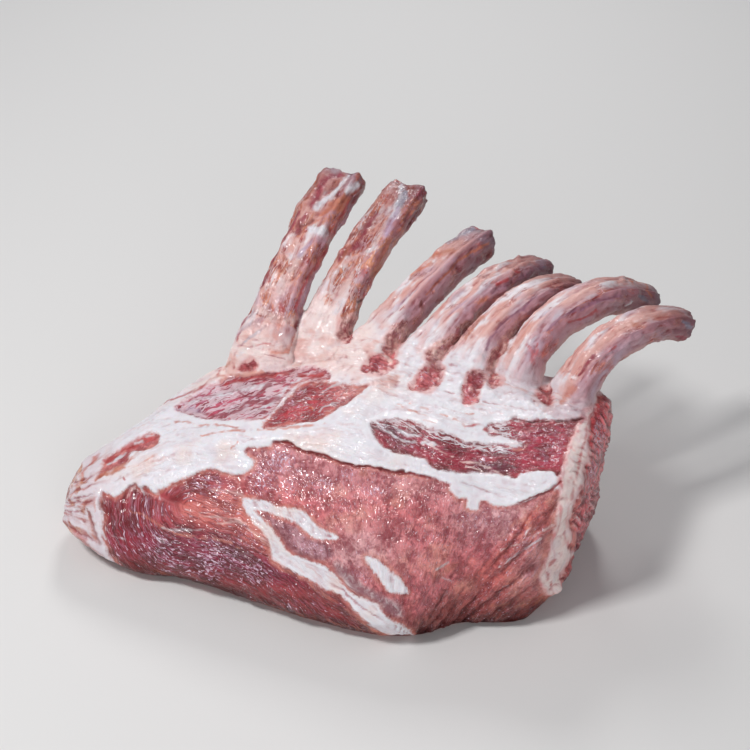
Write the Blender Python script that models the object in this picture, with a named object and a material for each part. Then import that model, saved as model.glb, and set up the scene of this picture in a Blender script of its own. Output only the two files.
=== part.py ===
"""A raw rack of pork: one body of meat and fat that stands on its sawn side, with seven bared rib bones.

Lengths in the tables are millimetres. X runs along the rack, -Y is the fat side and Z is up.
"""
import math

import bmesh
import bpy
from mathutils import Vector, noise

MM = 0.001

# The rack is a loft. A section runs across it from the front edge to the back edge, seen from above.
# Each row: place along the rack (0 left end, 1 right end), then X and Y of that edge.
FRONT_EDGE = (
    (0.00, -154, -71), (0.12, -122, -94), (0.30, -57, -95), (0.50, 10, -98),
    (0.60, 46, -96), (0.67, 69, -87), (0.76, 86, -69), (0.90, 115, -55), (1.00, 131, -36),
)
BACK_EDGE = ((0.00, -84, 25), (0.50, 30, 46), (1.00, 129, 54))

# Outline of a section, from the front foot over the top to the back foot.
# Each pair: share of the way from front edge to back edge, then height.
LEFT_PROFILE = (
    (0.10, 6), (0.03, 10), (0.00, 18), (0.03, 28), (0.08, 36), (0.16, 42), (0.30, 50),
    (0.50, 59), (0.75, 66), (0.93, 73), (1.00, 66), (1.00, 44), (0.96, 18), (0.90, 0),
)
MIDDLE_PROFILE = (
    (0.06, 0), (0.01, 8), (0.00, 22), (0.10, 46), (0.24, 67), (0.37, 79), (0.52, 86),
    (0.70, 91), (0.86, 94), (0.96, 91), (1.00, 77), (0.97, 50), (0.93, 18), (0.88, 0),
)
RIGHT_PROFILE = (
    (0.03, 0), (0.00, 8), (0.00, 22), (0.02, 45), (0.07, 65), (0.15, 77), (0.30, 84),
    (0.50, 88), (0.74, 91), (0.93, 89), (1.00, 77), (0.99, 50), (0.96, 18), (0.93, 0),
)
MIDDLE_FROM, MIDDLE_TO = 0.42, 0.62     # places between which the middle profile holds
RIGHT_LEAN, LEAN_FROM = 8.0, 0.7        # how far the right end leans out over its height, and where that begins
LEAN_HEIGHT = 90.0                      # height over which it leans
SEAM = 5                                # place in the profiles of the edge of the top fat
TOP = 8                                 # place in the profiles on the plain top

STATIONS = 40                           # sections along the rack
SPAN_STEPS = 3                          # steps from one outline point to the next
FOOT_STEPS = 7                          # steps across the flat foot
LEFT_ROUND, RIGHT_ROUND = 13.0, 6.0     # rounding of the two cut ends
LEFT_SHARE, RIGHT_SHARE = 0.09, 0.05    # part of the length that each rounding takes
CAP_RINGS = (0.87, 0.72, 0.56, 0.38, 0.19)  # rings that close an end, as shares of its outline
END_SMOOTHING, END_RINGS = 8, 3         # smoothing rounds, and sections beside each end that they reach
LEFT_BULGE, RIGHT_BULGE = 7.0, 4.0      # how far the middle of each cut end stands out
BACK_ROUNDER = 0.8                      # extra rounding of the ends at the back, as a share
SQUARE_FOOT = 8.0                       # height below which rounding and relief fade to none

# Relief, millimetres out of the surface. Places t run along the rack, places v round the profile.
LUMP_HEIGHT, LUMP_SIZE = 1.7, 26.0
GRAIN_HEIGHT, GRAIN_SIZE = 0.7, 10.0
FAT_STEP, FAT_RISE, FAT_SLOPE = 3.0, 0.4, 2.0       # height of the top fat's edge, v of its rise and fall
FAT_FROM, FAT_BLEND = 0.05, 0.12                    # t where the step begins, and over which it grows
EDGE_WANDER, EDGE_WAVES = 0.25, 9.0                 # how far that edge wanders in v, and how often
CREASE_DEPTH, CREASE_BELOW, CREASE_WIDTH = 2.6, 0.75, 0.5
GROOVE_DEPTH, GROOVE_WIDTH = 2.2, 0.55              # groove that runs down across the front muscle
GROOVE_V, GROOVE_T, GROOVE_FALL = 3.6, 0.35, 9.5    # where it starts, and its fall in v along t
MIDDLE_T, MIDDLE_REACH = 0.51, 0.2                  # stretch of t that holds crease and groove
PLEAT_HEIGHT, PLEAT_SIZE, PLEAT_LENGTH = 3.2, 16.0, 1.7
PLEAT_FROM, PLEAT_BLEND = 0.9, 0.08                 # t where the puckered right end begins
RIDGE_HEIGHT, RIDGE_WIDTH, RIDGE_TURN = 3.0, 8.0, 14.0
RIDGE_FROM, RIDGE_LOW, RIDGE_BLEND = 9, 12.0, 20.0  # v of the inner side, and height where ridges fade in

# Ribs. Each row: base X, Y, Z on the top of the body, heading from +Y toward +X in degrees,
# bared length, slope at base and at tip in degrees, bend exponent, width, thickness, tip width.
RIBS = (
    (-61.6, 17.3, 83, 4, 119, 65, 13, 0.50, 26, 13, 28),
    (-33.2, 29.9, 87, 9, 112, 52, 10, 0.65, 25, 13, 26),
    (-2.0, 30.2, 90, 19, 101, 28, -3, 1.40, 20, 17, 19),
    (25.9, 31.2, 90, 24, 104, 37, -27, 1.24, 19, 15, 17),
    (52.7, 34.0, 90, 27, 90, 56, -34, 1.00, 19, 16, 16),
    (79.2, 38.4, 89, 32, 110, 88, -41, 0.63, 19, 17, 18),
    (111.5, 34.1, 88, 36, 89, 92, -31, 0.62, 20, 14, 16),
)
ROOT_LENGTH = 30.0                      # bone that runs on inside the body
ROOT_SLOPE = 85.0                       # slope at the hidden end, degrees
ROOT_STEPS, RIB_STEPS, RIB_SIDES = 5, 16, 14
RIB_SQUARENESS = 4.0                    # exponent of the rib's section, 2 is an ellipse
RIB_LUMP, RIB_LUMP_SIZE = 1.3, 16.0
RIB_RIDGE = 0.9                         # height of the ridge along each corner of the section
RIB_FLARE, RIB_FLARE_SHARE = 0.18, 0.3  # extra width at the foot of the bared bone
RIB_TAPER, RIB_TAPER_SHARE = 0.05, 0.05 # narrowing at the sawn tip
ROOT_TAPER, ROOT_TIP = 5.0, 0.45        # steepness of the narrowing at the hidden end, and what is left there
RELIEF_GROWS = 6.0                      # how fast the bone's relief grows out of the meat
RIB_END = 0.8                           # swell of a bone's cut end
GAP = 0.3                               # clearance between a bone and its socket

# Cuffs: the collars of meat and skin that climb each bone.
CUFF_FROM, CUFF_TO = -0.16, 0.17        # as shares of the bared length
CUFF_THICK, CUFF_EDGE = 6.0, 1.0        # thickness at the foot and at the ragged edge
CUFF_RAGGED = 7.0                       # how far the edge runs up and down the bone
CUFF_NOTCHES = 0.9                      # waves of the ragged edge to a side of the section
CUFF_LUMP, CUFF_LUMP_SIZE = 1.6, 7.0
VALLEY_DEPTH, VALLEY_WIDTH = 5.0, 11.0  # dip of the top edge between two bones
VALLEY_FROM = 6.5                       # v where the dips begin


def ease(x):
    """Smooth step from 0 to 1."""
    x = min(max(x, 0.0), 1.0)
    return x * x * (3.0 - 2.0 * x)


def bump(x, width):
    """Round bump of height 1 at x = 0 that ends at +-width."""
    return ease(1.0 - abs(x) / width)


def curve(p0, p1, p2, p3, u):
    """Point of a Catmull-Rom curve between p1 and p2."""
    return 0.5 * (2 * p1 + (p2 - p0) * u + (2 * p0 - 5 * p1 + 4 * p2 - p3) * u * u
                  + (3 * p1 - p0 - 3 * p2 + p3) * u ** 3)


def rounding(share, radius):
    """Inset of a rounded edge, share of the way in from the end."""
    return radius * (1 - math.sqrt(1 - (1 - share) ** 2)) if share < 1 else 0.0


def along(keys, t):
    """Value of a key table at t, as a smooth curve through its rows."""
    rows = [Vector(row[1:] + (0,)) for row in keys]
    last = len(keys) - 2
    i = next((k for k in range(last + 1) if t <= keys[k + 1][0]), last)
    u = (t - keys[i][0]) / (keys[i + 1][0] - keys[i][0])
    before = rows[i - 1] if i > 0 else 2 * rows[i] - rows[i + 1]
    after = rows[i + 2] if i < last else 2 * rows[i + 1] - rows[i]
    return curve(before, rows[i], rows[i + 1], after, u)


def profile(t):
    """Section outline at t, as (share, height) vectors."""
    left = 1.0 - ease(t / MIDDLE_FROM)
    right = ease((t - MIDDLE_TO) / (1.0 - MIDDLE_TO))
    middle = 1.0 - left - right
    rows = zip(LEFT_PROFILE, MIDDLE_PROFILE, RIGHT_PROFILE)
    return [left * Vector(a) + middle * Vector(b) + right * Vector(c) for a, b, c in rows]


def section(t):
    """Ring of (point, place in the outline) at t."""
    front, back = along(FRONT_EDGE, t), along(BACK_EDGE, t)
    outline = profile(t)
    ring = []

    def seat(share, height):
        lean = RIGHT_LEAN * (height / LEAN_HEIGHT - 0.5) * ease((t - LEAN_FROM) / (1 - LEAN_FROM))
        return front.lerp(back, share) + Vector((lean, 0, height))

    for i in range(len(outline) - 1):
        before = outline[i - 1] if i > 0 else outline[i]
        after = outline[i + 2] if i + 2 < len(outline) else outline[i + 1]
        for step in range(SPAN_STEPS):
            u = step / SPAN_STEPS
            ring.append((seat(*curve(before, outline[i], outline[i + 1], after, u)), i + u))
    for step in range(FOOT_STEPS):
        u = step / FOOT_STEPS
        ring.append((seat(*outline[-1].lerp(outline[0], u)), len(outline) - 1 + u))
    return ring


def rib_line(row):
    """Centre line of a rib as (point, tangent, share of the bared length); the root has shares below 0."""
    x, y, z, heading, length, slope, tip_slope, power = row[:8]
    level = Vector((math.sin(math.radians(heading)), math.cos(math.radians(heading)), 0))

    def tangent(share):
        if share < 0:
            angle = slope + (ROOT_SLOPE - slope) * ease(-share * length / ROOT_LENGTH)
        else:
            angle = slope + (tip_slope - slope) * share ** power
        return level * math.cos(math.radians(angle)) + Vector((0, 0, math.sin(math.radians(angle))))

    def walk(length_to, steps):
        point, places = Vector((x, y, z)), []
        for i in range(steps):
            middle = tangent((i + 0.5) / steps * length_to / length)
            point = point + middle * (length_to / steps)
            share = (i + 1) / steps * length_to / length
            places.append((point.copy(), tangent(share), share))
        return places

    root = walk(-ROOT_LENGTH, ROOT_STEPS)
    return root[::-1] + [(Vector((x, y, z)), tangent(0), 0.0)] + walk(length, RIB_STEPS)


def rib_rings(row, places, extra, lump_height=RIB_LUMP, lump_size=RIB_LUMP_SIZE):
    """Rings of bone at places along its line, made thicker on all sides by extra(share)."""
    width, thick, tip_width = row[8:11]
    heading = math.radians(row[3])
    side = Vector((math.cos(heading), -math.sin(heading), 0))
    rings = []
    for point, tangent, share in places:
        up = side.cross(tangent).normalized()
        wide = width + (tip_width - width) * ease((share - 0.5) * 2)
        wide *= 1 + RIB_FLARE * (1 - ease(share / RIB_FLARE_SHARE))
        end = ease((share + ROOT_LENGTH / row[4]) * ROOT_TAPER + ROOT_TIP)
        end *= 1 - RIB_TAPER * ease((share - 1 + RIB_TAPER_SHARE) / RIB_TAPER_SHARE)
        ring = []
        for i in range(RIB_SIDES):
            angle = 2 * math.pi * i / RIB_SIDES
            c, s = math.cos(angle), math.sin(angle)
            size = (abs(c) ** RIB_SQUARENESS + abs(s) ** RIB_SQUARENESS) ** (-1 / RIB_SQUARENESS)
            out = side * (c * size * wide * end / 2) + up * (s * size * thick * end / 2)
            seat = point + out
            lump = lump_height * noise.noise(seat / lump_size) + RIB_RIDGE * (abs(math.sin(2 * angle)) - 0.5)
            ring.append(seat + out.normalized() * (lump * ease(share * RELIEF_GROWS + 1) + extra(share)))
        rings.append(ring)
    return rings


def fat_edge(t, v):
    """Step up to the top fat, with the crease under its middle stretch."""
    v += EDGE_WANDER * noise.noise(Vector((t * EDGE_WAVES, 4, 1))) - SEAM
    rise = ease((v + FAT_RISE) / FAT_RISE) * (1 - ease((v - FAT_RISE) / FAT_SLOPE))
    crease = bump(v + CREASE_BELOW, CREASE_WIDTH) * bump(t - MIDDLE_T, MIDDLE_REACH)
    return FAT_STEP * rise * ease((t - FAT_FROM) / FAT_BLEND) - CREASE_DEPTH * crease


def groove(t, v):
    """Groove that runs down across the front muscle."""
    across = v - (GROOVE_V - (t - GROOVE_T) * GROOVE_FALL)
    return -GROOVE_DEPTH * bump(across, GROOVE_WIDTH) * bump(t - MIDDLE_T, MIDDLE_REACH)


def pleats(point, t):
    """Folds of the puckered right end, longer than high."""
    place = Vector((point.x / PLEAT_LENGTH, point.y / PLEAT_LENGTH, point.z)) / PLEAT_SIZE
    return PLEAT_HEIGHT * noise.noise(place) * ease((t - PLEAT_FROM) / PLEAT_BLEND)


def bone_ridges(point, v):
    """Ridges that the hidden bones raise on the inner side, and the dips between them along the top."""
    high = 0.0
    across = Vector((math.cos(math.radians(RIDGE_TURN)), math.sin(math.radians(RIDGE_TURN))))
    for row in RIBS:
        base = Vector(row[:3])
        if point.z < base.z and v > RIDGE_FROM:
            off = (point.xy - base.xy).dot(across)
            high += RIDGE_HEIGHT * bump(off, RIDGE_WIDTH) * ease((point.z - RIDGE_LOW) / RIDGE_BLEND)
    for row, following in zip(RIBS, RIBS[1:]):
        between = (Vector(row[:3]) + Vector(following[:3])) / 2
        high -= VALLEY_DEPTH * bump((point - between).xy.length, VALLEY_WIDTH) * ease(v - VALLEY_FROM)
    return high


def relief(point, t, v):
    """Height of the relief at a point of the body; the foot stays flat."""
    high = LUMP_HEIGHT * noise.noise(point / LUMP_SIZE)
    high += GRAIN_HEIGHT * noise.noise(point / GRAIN_SIZE + Vector((7, 3, 5)))
    high += fat_edge(t, v) + groove(t, v) + pleats(point, t) + bone_ridges(point, v)
    return high * ease(point.z / SQUARE_FOOT)


def closed_mesh(name, rings, ends, material, collection, soften=0, relief_of=None):
    """Object lofted through rings, closed at both ends by a point.

    The outer soften rings at each end are smoothed before relief_of(vertex number, place) is added.
    """
    bm = bmesh.new()
    grid = [[bm.verts.new(p) for p in ring] for ring in rings]
    count = len(rings[0])
    for a, b in zip(grid, grid[1:]):
        for i in range(count):
            j = (i + 1) % count
            bm.faces.new((a[i], a[j], b[j], b[i]))
    for ring, end in ((grid[0], ends[0]), (grid[-1], ends[1])):
        tip = bm.verts.new(end)
        for i in range(count):
            bm.faces.new((ring[(i + 1) % count], ring[i], tip))
    bmesh.ops.recalc_face_normals(bm, faces=bm.faces)
    if relief_of:
        bm.verts.ensure_lookup_table()
        reach = soften * count
        soft = bm.verts[:reach] + bm.verts[len(grid) * count - reach:len(grid) * count] + bm.verts[-2:]
        for _ in range(END_SMOOTHING):
            bmesh.ops.smooth_vert(bm, verts=soft, factor=0.5,
                                  use_axis_x=True, use_axis_y=True, use_axis_z=True)
            for v in soft:
                v.co.z = max(v.co.z, 0.0)
        bm.normal_update()
        moves = [v.normal * relief_of(i, v.co) for i, v in enumerate(bm.verts)]
        for v, move in zip(bm.verts, moves):
            v.co += move
            v.co.z = max(v.co.z, 0.0)
    bmesh.ops.triangulate(bm, faces=bm.faces)
    bmesh.ops.recalc_face_normals(bm, faces=bm.faces)
    bmesh.ops.scale(bm, vec=Vector((MM, MM, MM)), verts=bm.verts)
    mesh = bpy.data.meshes.new(name)
    bm.to_mesh(mesh)
    bm.free()
    mesh.shade_smooth()
    mesh.materials.append(material)
    thing = bpy.data.objects.new(name, mesh)
    collection.objects.link(thing)
    return thing


def paint(name, colour, roughness):
    material = bpy.data.materials.new(name)
    material.use_nodes = True
    shader = material.node_tree.nodes["Principled BSDF"]
    shader.inputs["Base Color"].default_value = (*colour, 1)
    shader.inputs["Roughness"].default_value = roughness
    material.diffuse_color = (*colour, 1)
    return material


def end_rings(ring, neighbour, bulge):
    """Rings that close an end of the body with a low swell, and the middle point of that end."""
    middle = sum(ring, Vector()) / len(ring)
    out = (middle - sum(neighbour, Vector()) / len(ring)).normalized()
    rings = [[middle.lerp(p, share) + out * bulge * (1 - share * share) for p in ring] for share in CAP_RINGS]
    return rings, middle + out * bulge


def body(material, collection):
    """The meat and fat."""
    rings, places = [], []
    for i in range(STATIONS + 1):
        t = i / STATIONS
        ring = section(t)
        middle = sum((p for p, v in ring), Vector()) / len(ring)
        inset = rounding(t / LEFT_SHARE, LEFT_ROUND) + rounding((1 - t) / RIGHT_SHARE, RIGHT_ROUND)
        rings.append([])
        for p, v in ring:
            depth = inset * (1 + BACK_ROUNDER * ease((v - TOP) / 3)) * ease(p.z / SQUARE_FOOT)
            rings[-1].append(p + (middle - p).normalized() * depth)
            places.append((t, v))
    left, left_end = end_rings(rings[0], rings[1], LEFT_BULGE)
    right, right_end = end_rings(rings[-1], rings[-2], RIGHT_BULGE)
    closing = len(rings[0]) * len(CAP_RINGS)
    places = [(0.0, TOP)] * closing + places + [(1.0, TOP)] * closing + [(0.0, TOP), (1.0, TOP)]
    everything = left[::-1] + rings + right

    def relief_of(i, co):
        return relief(co, *places[i])

    soften = len(CAP_RINGS) + END_RINGS
    return closed_mesh("loin", everything, (left_end, right_end), material, collection, soften, relief_of)


def tube(name, rings, stretch, material, collection):
    """Lofted tube; both ends are moved out by stretch and close in a low point."""
    ends = []
    for at, beside in ((0, 1), (-1, -2)):
        middle = sum(rings[at], Vector()) / len(rings[at])
        out = (middle - sum(rings[beside], Vector()) / len(rings[beside])).normalized()
        rings[at] = [p + out * stretch for p in rings[at]]
        ends.append(middle + out * (stretch + RIB_END))
    return closed_mesh(name, rings, ends, material, collection)


def cuff(number, row, material, collection):
    """Collar of tissue round the foot of a bone."""
    near = [place for place in rib_line(row) if CUFF_FROM < place[2] < CUFF_TO]

    def thick(share):
        return CUFF_EDGE + (CUFF_THICK - CUFF_EDGE) * ((CUFF_TO - share) / (CUFF_TO - CUFF_FROM)) ** 2

    rings = rib_rings(row, near, thick, CUFF_LUMP, CUFF_LUMP_SIZE)
    for ring, (point, tangent, share) in zip(rings, near):
        pull = CUFF_RAGGED * max(0.0, share / CUFF_TO)
        for i, seat in enumerate(ring):
            ring[i] = seat + tangent * pull * noise.noise(Vector((number, i * CUFF_NOTCHES, 0)))
    return tube("cuff_%d" % number, rings, 0.0, material, collection)


def hide(thing):
    thing.hide_render = True
    thing.display_type = "WIRE"


def combine(thing, operation, cutters):
    step = thing.modifiers.new(cutters.name, "BOOLEAN")
    step.operation = operation
    step.solver = "EXACT"
    step.operand_type = "COLLECTION"
    step.collection = cutters


def settle(things, measured):
    """Move the meshes so that the middle of the measured ones is over the origin."""
    places = [v.co for thing in measured for v in thing.data.vertices]
    middle = [(min(p[axis] for p in places) + max(p[axis] for p in places)) / 2 for axis in (0, 1)]
    for thing in things:
        for v in thing.data.vertices:
            v.co -= Vector((*middle, 0))


def main():
    for thing in list(bpy.data.objects):
        bpy.data.objects.remove(thing)
    rack, cuffs, sockets = (bpy.data.collections.new(name) for name in ("pork_rack", "cuffs", "sockets"))
    for collection in (rack, cuffs, sockets):
        bpy.context.scene.collection.children.link(collection)
    meat = paint("raw_pork", (0.62, 0.22, 0.22), 0.4)
    bone = paint("rib_bone", (0.78, 0.55, 0.52), 0.45)
    loin = body(meat, rack)
    for number, row in enumerate(RIBS, 1):
        line = rib_line(row)
        tube("rib_%d" % number, rib_rings(row, line, lambda share: 0.0), 0.0, bone, rack)
        hide(tube("socket_%d" % number, rib_rings(row, line, lambda share: GAP), GAP, bone, sockets))
        hide(cuff(number, row, meat, cuffs))
    everything = [thing for collection in (rack, cuffs, sockets) for thing in collection.objects]
    settle(everything, [thing for thing in rack.objects])
    combine(loin, "UNION", cuffs)
    combine(loin, "DIFFERENCE", sockets)


main()
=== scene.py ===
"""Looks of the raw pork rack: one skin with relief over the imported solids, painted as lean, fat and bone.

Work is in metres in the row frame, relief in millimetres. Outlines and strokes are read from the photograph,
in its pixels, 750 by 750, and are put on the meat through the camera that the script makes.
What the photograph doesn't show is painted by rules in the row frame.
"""
import itertools
import math

import bpy
import numpy as np
from mathutils import Matrix, Vector


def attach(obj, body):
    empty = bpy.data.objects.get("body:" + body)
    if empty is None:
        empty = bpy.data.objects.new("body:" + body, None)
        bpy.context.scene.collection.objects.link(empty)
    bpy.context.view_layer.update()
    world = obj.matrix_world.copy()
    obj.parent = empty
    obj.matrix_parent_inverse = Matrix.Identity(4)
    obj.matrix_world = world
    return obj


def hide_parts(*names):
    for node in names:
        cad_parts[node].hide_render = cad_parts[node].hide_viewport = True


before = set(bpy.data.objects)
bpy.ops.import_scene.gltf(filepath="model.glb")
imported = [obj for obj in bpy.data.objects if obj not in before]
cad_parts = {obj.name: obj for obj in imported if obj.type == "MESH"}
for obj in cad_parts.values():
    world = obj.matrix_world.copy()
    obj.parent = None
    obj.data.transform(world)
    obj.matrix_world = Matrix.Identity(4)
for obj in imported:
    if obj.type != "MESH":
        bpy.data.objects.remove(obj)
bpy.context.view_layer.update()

MM = 0.001

# ---------------------------------------------------------------- camera of the photograph
AZIMUTH, ELEVATION = math.radians(22), math.radians(36)
DISTANCE = 0.98
TARGET = np.array((-0.008654, 0.014641, 0.075))
LENS, SENSOR, FRAME_PX = 85.0, 36.0, 750
TOWARD_EYE = np.array((math.sin(AZIMUTH), -math.cos(AZIMUTH)))
BACK = np.array((*(TOWARD_EYE * math.cos(ELEVATION)), math.sin(ELEVATION)))
RIGHT = np.array((math.cos(AZIMUTH), math.sin(AZIMUTH), 0.0))
UP = np.cross(BACK, RIGHT)
EYE = TARGET + BACK * DISTANCE
PX_MM = DISTANCE / (FRAME_PX * LENS / SENSOR) / MM      # millimetres to a pixel at the target

# ---------------------------------------------------------------- bones, as in the part's source
# base X, Y, Z (mm), heading, bared length, slope at base and tip, bend exponent, width, thickness, tip width
SHIFT = np.array((-8.654, -15.359, 0.0))
RIBS = (
    (-61.6, 17.3, 83, 4, 119, 65, 13, 0.50, 26, 13, 28),
    (-33.2, 29.9, 87, 9, 112, 52, 10, 0.65, 25, 13, 26),
    (-2.0, 30.2, 90, 19, 101, 28, -3, 1.40, 20, 17, 19),
    (25.9, 31.2, 90, 24, 104, 37, -27, 1.24, 19, 15, 17),
    (52.7, 34.0, 90, 27, 90, 56, -34, 1.00, 19, 16, 16),
    (79.2, 38.4, 89, 32, 110, 88, -41, 0.63, 19, 17, 18),
    (111.5, 34.1, 88, 36, 89, 92, -31, 0.62, 20, 14, 16),
)
ROOT_LENGTH, ROOT_SLOPE = 30.0, 85.0
REDNESS = (0.75, 0.95, 0.3, 0.45, 0.45, 0.35, 0.25)      # how much red and orange tissue each bone carries
FOOT_END = (0.20, 0.38, 0.30, 0.30, 0.26, 0.18, 0.14)    # share of its length up to which fat covers a bone

# ---------------------------------------------------------------- outlines of the photograph, in its pixels
FRONT_MUSCLE = (
    (104, 492), (114, 497), (118, 495), (134, 483), (139, 488), (146, 486), (155, 494), (159, 490),
    (175, 483), (186, 478), (202, 470), (211, 469), (221, 472), (243, 474), (255, 463), (246, 454),
    (247, 447), (262, 447), (271, 447), (275, 442), (289, 442), (300, 449), (322, 455), (336, 461),
    (360, 465), (377, 468), (402, 473), (412, 475), (448, 482), (450, 487), (455, 497), (467, 499),
    (466, 507), (477, 510), (481, 500), (498, 507), (519, 504), (541, 494), (557, 490), (600, 520),
    (600, 660), (400, 670), (250, 640), (121, 585), (121, 570), (109, 554), (104, 542), (102, 527),
    (104, 519), (101, 505),
)
RIGHT_CAP = (
    (370, 424), (374, 436), (380, 445), (387, 450), (397, 454), (410, 456), (423, 459), (430, 465),
    (438, 470), (453, 472), (468, 472), (487, 473), (504, 476), (517, 478), (522, 474), (540, 472),
    (553, 472), (558, 478), (562, 468), (568, 446), (575, 430), (583, 419), (560, 420), (527, 420),
    (513, 419), (507, 422), (488, 426), (488, 435), (502, 437), (514, 441), (523, 443), (515, 448),
    (506, 446), (492, 443), (478, 444), (465, 442), (453, 437), (440, 432), (425, 427), (412, 422),
    (398, 419), (389, 419), (384, 421), (378, 422),
)
LEFT_CAP = (
    (175, 408), (204, 390), (229, 379), (264, 374), (300, 369), (325, 371), (330, 380), (300, 384),
    (285, 396), (275, 408), (262, 420), (240, 420), (207, 419), (186, 413),
)
LEFT_CAP_RED = (
    (264, 429), (268, 418), (278, 409), (290, 395), (300, 386), (320, 382), (345, 385), (358, 384),
    (368, 386), (362, 393), (350, 402), (330, 415), (316, 421), (290, 425),
)
LEAN_PATCH = (
    (96, 482), (103, 464), (109, 454), (125, 447), (143, 435), (155, 432), (162, 437), (159, 445),
    (150, 451), (134, 454), (129, 463), (112, 471),
)
STREAK_LOW = (
    (245, 501), (257, 513), (270, 527), (280, 541), (288, 552), (300, 557), (313, 562), (326, 566),
    (336, 576), (345, 590), (357, 597), (377, 604), (381, 611), (392, 620), (414, 634), (412, 645),
    (396, 640), (377, 630), (364, 620), (352, 607), (340, 596), (326, 588), (310, 580), (296, 573),
    (282, 566), (272, 560), (270, 546), (262, 532), (252, 520), (243, 507),
)
STREAK_HIGH = (
    (243, 499), (264, 501), (282, 507), (300, 509), (311, 520), (322, 528), (336, 535), (334, 540),
    (318, 539), (307, 534), (296, 523), (282, 518), (264, 511), (248, 508),
)
WHITE_PATCH = (
    (364, 558), (369, 556), (377, 559), (390, 570), (400, 578), (408, 591), (403, 594), (391, 592),
    (383, 584), (372, 570),
)
END_STRIP = (
    (584, 414), (579, 424), (573, 434), (569, 446), (565, 459), (561, 474), (559, 490), (557, 501),
    (556, 512), (552, 528), (550, 539), (548, 551), (544, 562), (539, 572), (538, 580), (542, 588),
    (547, 596), (557, 591), (562, 584), (561, 576), (566, 564), (573, 553), (568, 545), (572, 536),
    (567, 524), (572, 510), (573, 500), (581, 488), (585, 480), (584, 469), (590, 459), (588, 440),
    (591, 425), (595, 405),
)
END_FACE = (
    (595, 403), (591, 425), (588, 440), (590, 459), (584, 469), (585, 480), (581, 488), (573, 500),
    (572, 510), (567, 524), (572, 536), (568, 545), (573, 553), (566, 564), (562, 584), (640, 600),
    (660, 400), (606, 392),
)
DARK_WEDGE = (
    (250, 511), (264, 513), (282, 520), (297, 526), (310, 537), (328, 545), (335, 556), (318, 561),
    (300, 556), (287, 549), (276, 534), (264, 522),
)
BROWN_PATCH = (
    (335, 562), (352, 572), (366, 586), (385, 597), (400, 603), (402, 618), (385, 612), (362, 598),
    (345, 588), (336, 575),
)
UPPER_MUSCLE = (
    (245, 440), (420, 470), (560, 490), (556, 500), (520, 530), (480, 572), (440, 610), (405, 640),
    (370, 600), (335, 570), (290, 550), (250, 508),
)
FACET = (
    (405, 645), (425, 612), (448, 588), (480, 566), (512, 530), (558, 492), (610, 520), (600, 660),
    (420, 670),
)
SALMON_FLANK = (
    (190, 500), (222, 492), (246, 504), (262, 530), (272, 552), (255, 548), (232, 532), (205, 524),
    (180, 515),
)
TORN = (
    ((363, 373), (366, 364), (373, 354), (383, 356), (391, 359), (398, 364), (388, 371), (377, 376)),
    (
        (384, 341), (388, 332), (396, 324), (404, 321), (410, 325), (408, 335), (400, 347), (395, 357),
        (386, 357),
    ),
    (
        (410, 388), (415, 382), (418, 374), (425, 367), (431, 365), (442, 366), (443, 375), (433, 391),
        (425, 394),
    ),
    (
        (427, 362), (426, 352), (434, 345), (452, 332), (472, 317), (483, 309), (474, 326), (450, 350),
        (436, 366),
    ),
    (
        (463, 400), (464, 388), (468, 376), (474, 369), (482, 372), (486, 379), (478, 394), (474, 403),
        (468, 404),
    ),
    ((487, 372), (489, 357), (497, 345), (508, 332), (515, 327), (514, 338), (506, 352), (497, 365)),
    ((488, 380), (493, 374), (500, 376), (505, 380), (499, 387), (490, 386)),
    ((536, 400), (539, 390), (546, 387), (552, 390), (553, 404), (547, 407)),
    ((338, 336), (341, 321), (348, 316), (355, 315), (352, 326), (349, 341)),
    ((238, 370), (243, 364), (253, 358), (256, 369)),
)

# Lines in the meat: creases, and the run of the fibres.
CREASE = (
    (275, 441), (289, 443), (301, 450), (322, 455), (336, 461), (360, 465), (377, 468), (402, 473),
    (430, 478),
)
NOTCH = ((519, 503), (530, 497), (541, 494), (551, 489), (560, 482))
FIBRES_FRONT = ((190, 506), (250, 528), (300, 562), (345, 603), (420, 655))
FIBRES_RIGHT = ((360, 412), (400, 435), (440, 452), (490, 460), (585, 462))
FIBRES_LEFT = ((150, 432), (200, 412), (250, 392), (300, 378), (360, 366))
FIBRES_FAT = ((60, 520), (70, 480), (110, 452), (180, 425), (260, 430), (340, 430), (420, 452), (570, 490))

# Colours, as red, green and blue of a display, and the height in millimetres that a stroke of it stands out.
COLOURS = {
    "white": ((238, 233, 240), 0.25),
    "cream": ((242, 206, 202), 0.10),
    "salmon": ((224, 142, 124), 0.00),
    "orange": ((206, 120, 92), -0.05),
    "red": ((196, 66, 68), -0.20),
    "crimson": ((158, 46, 68), -0.30),
    # painted shadow, laid in gaps and creases where shade falls; it also sinks the relief
    "painted_shadow": ((96, 10, 12), -1.00),
    "brown": ((156, 84, 78), -0.35),
    "mauve": ((160, 108, 132), -0.40),
    "grey": ((142, 134, 154), -0.15),
    "lilac": ((190, 166, 194), 0.00),
    "amber": ((206, 110, 30), 0.20),
}
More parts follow.
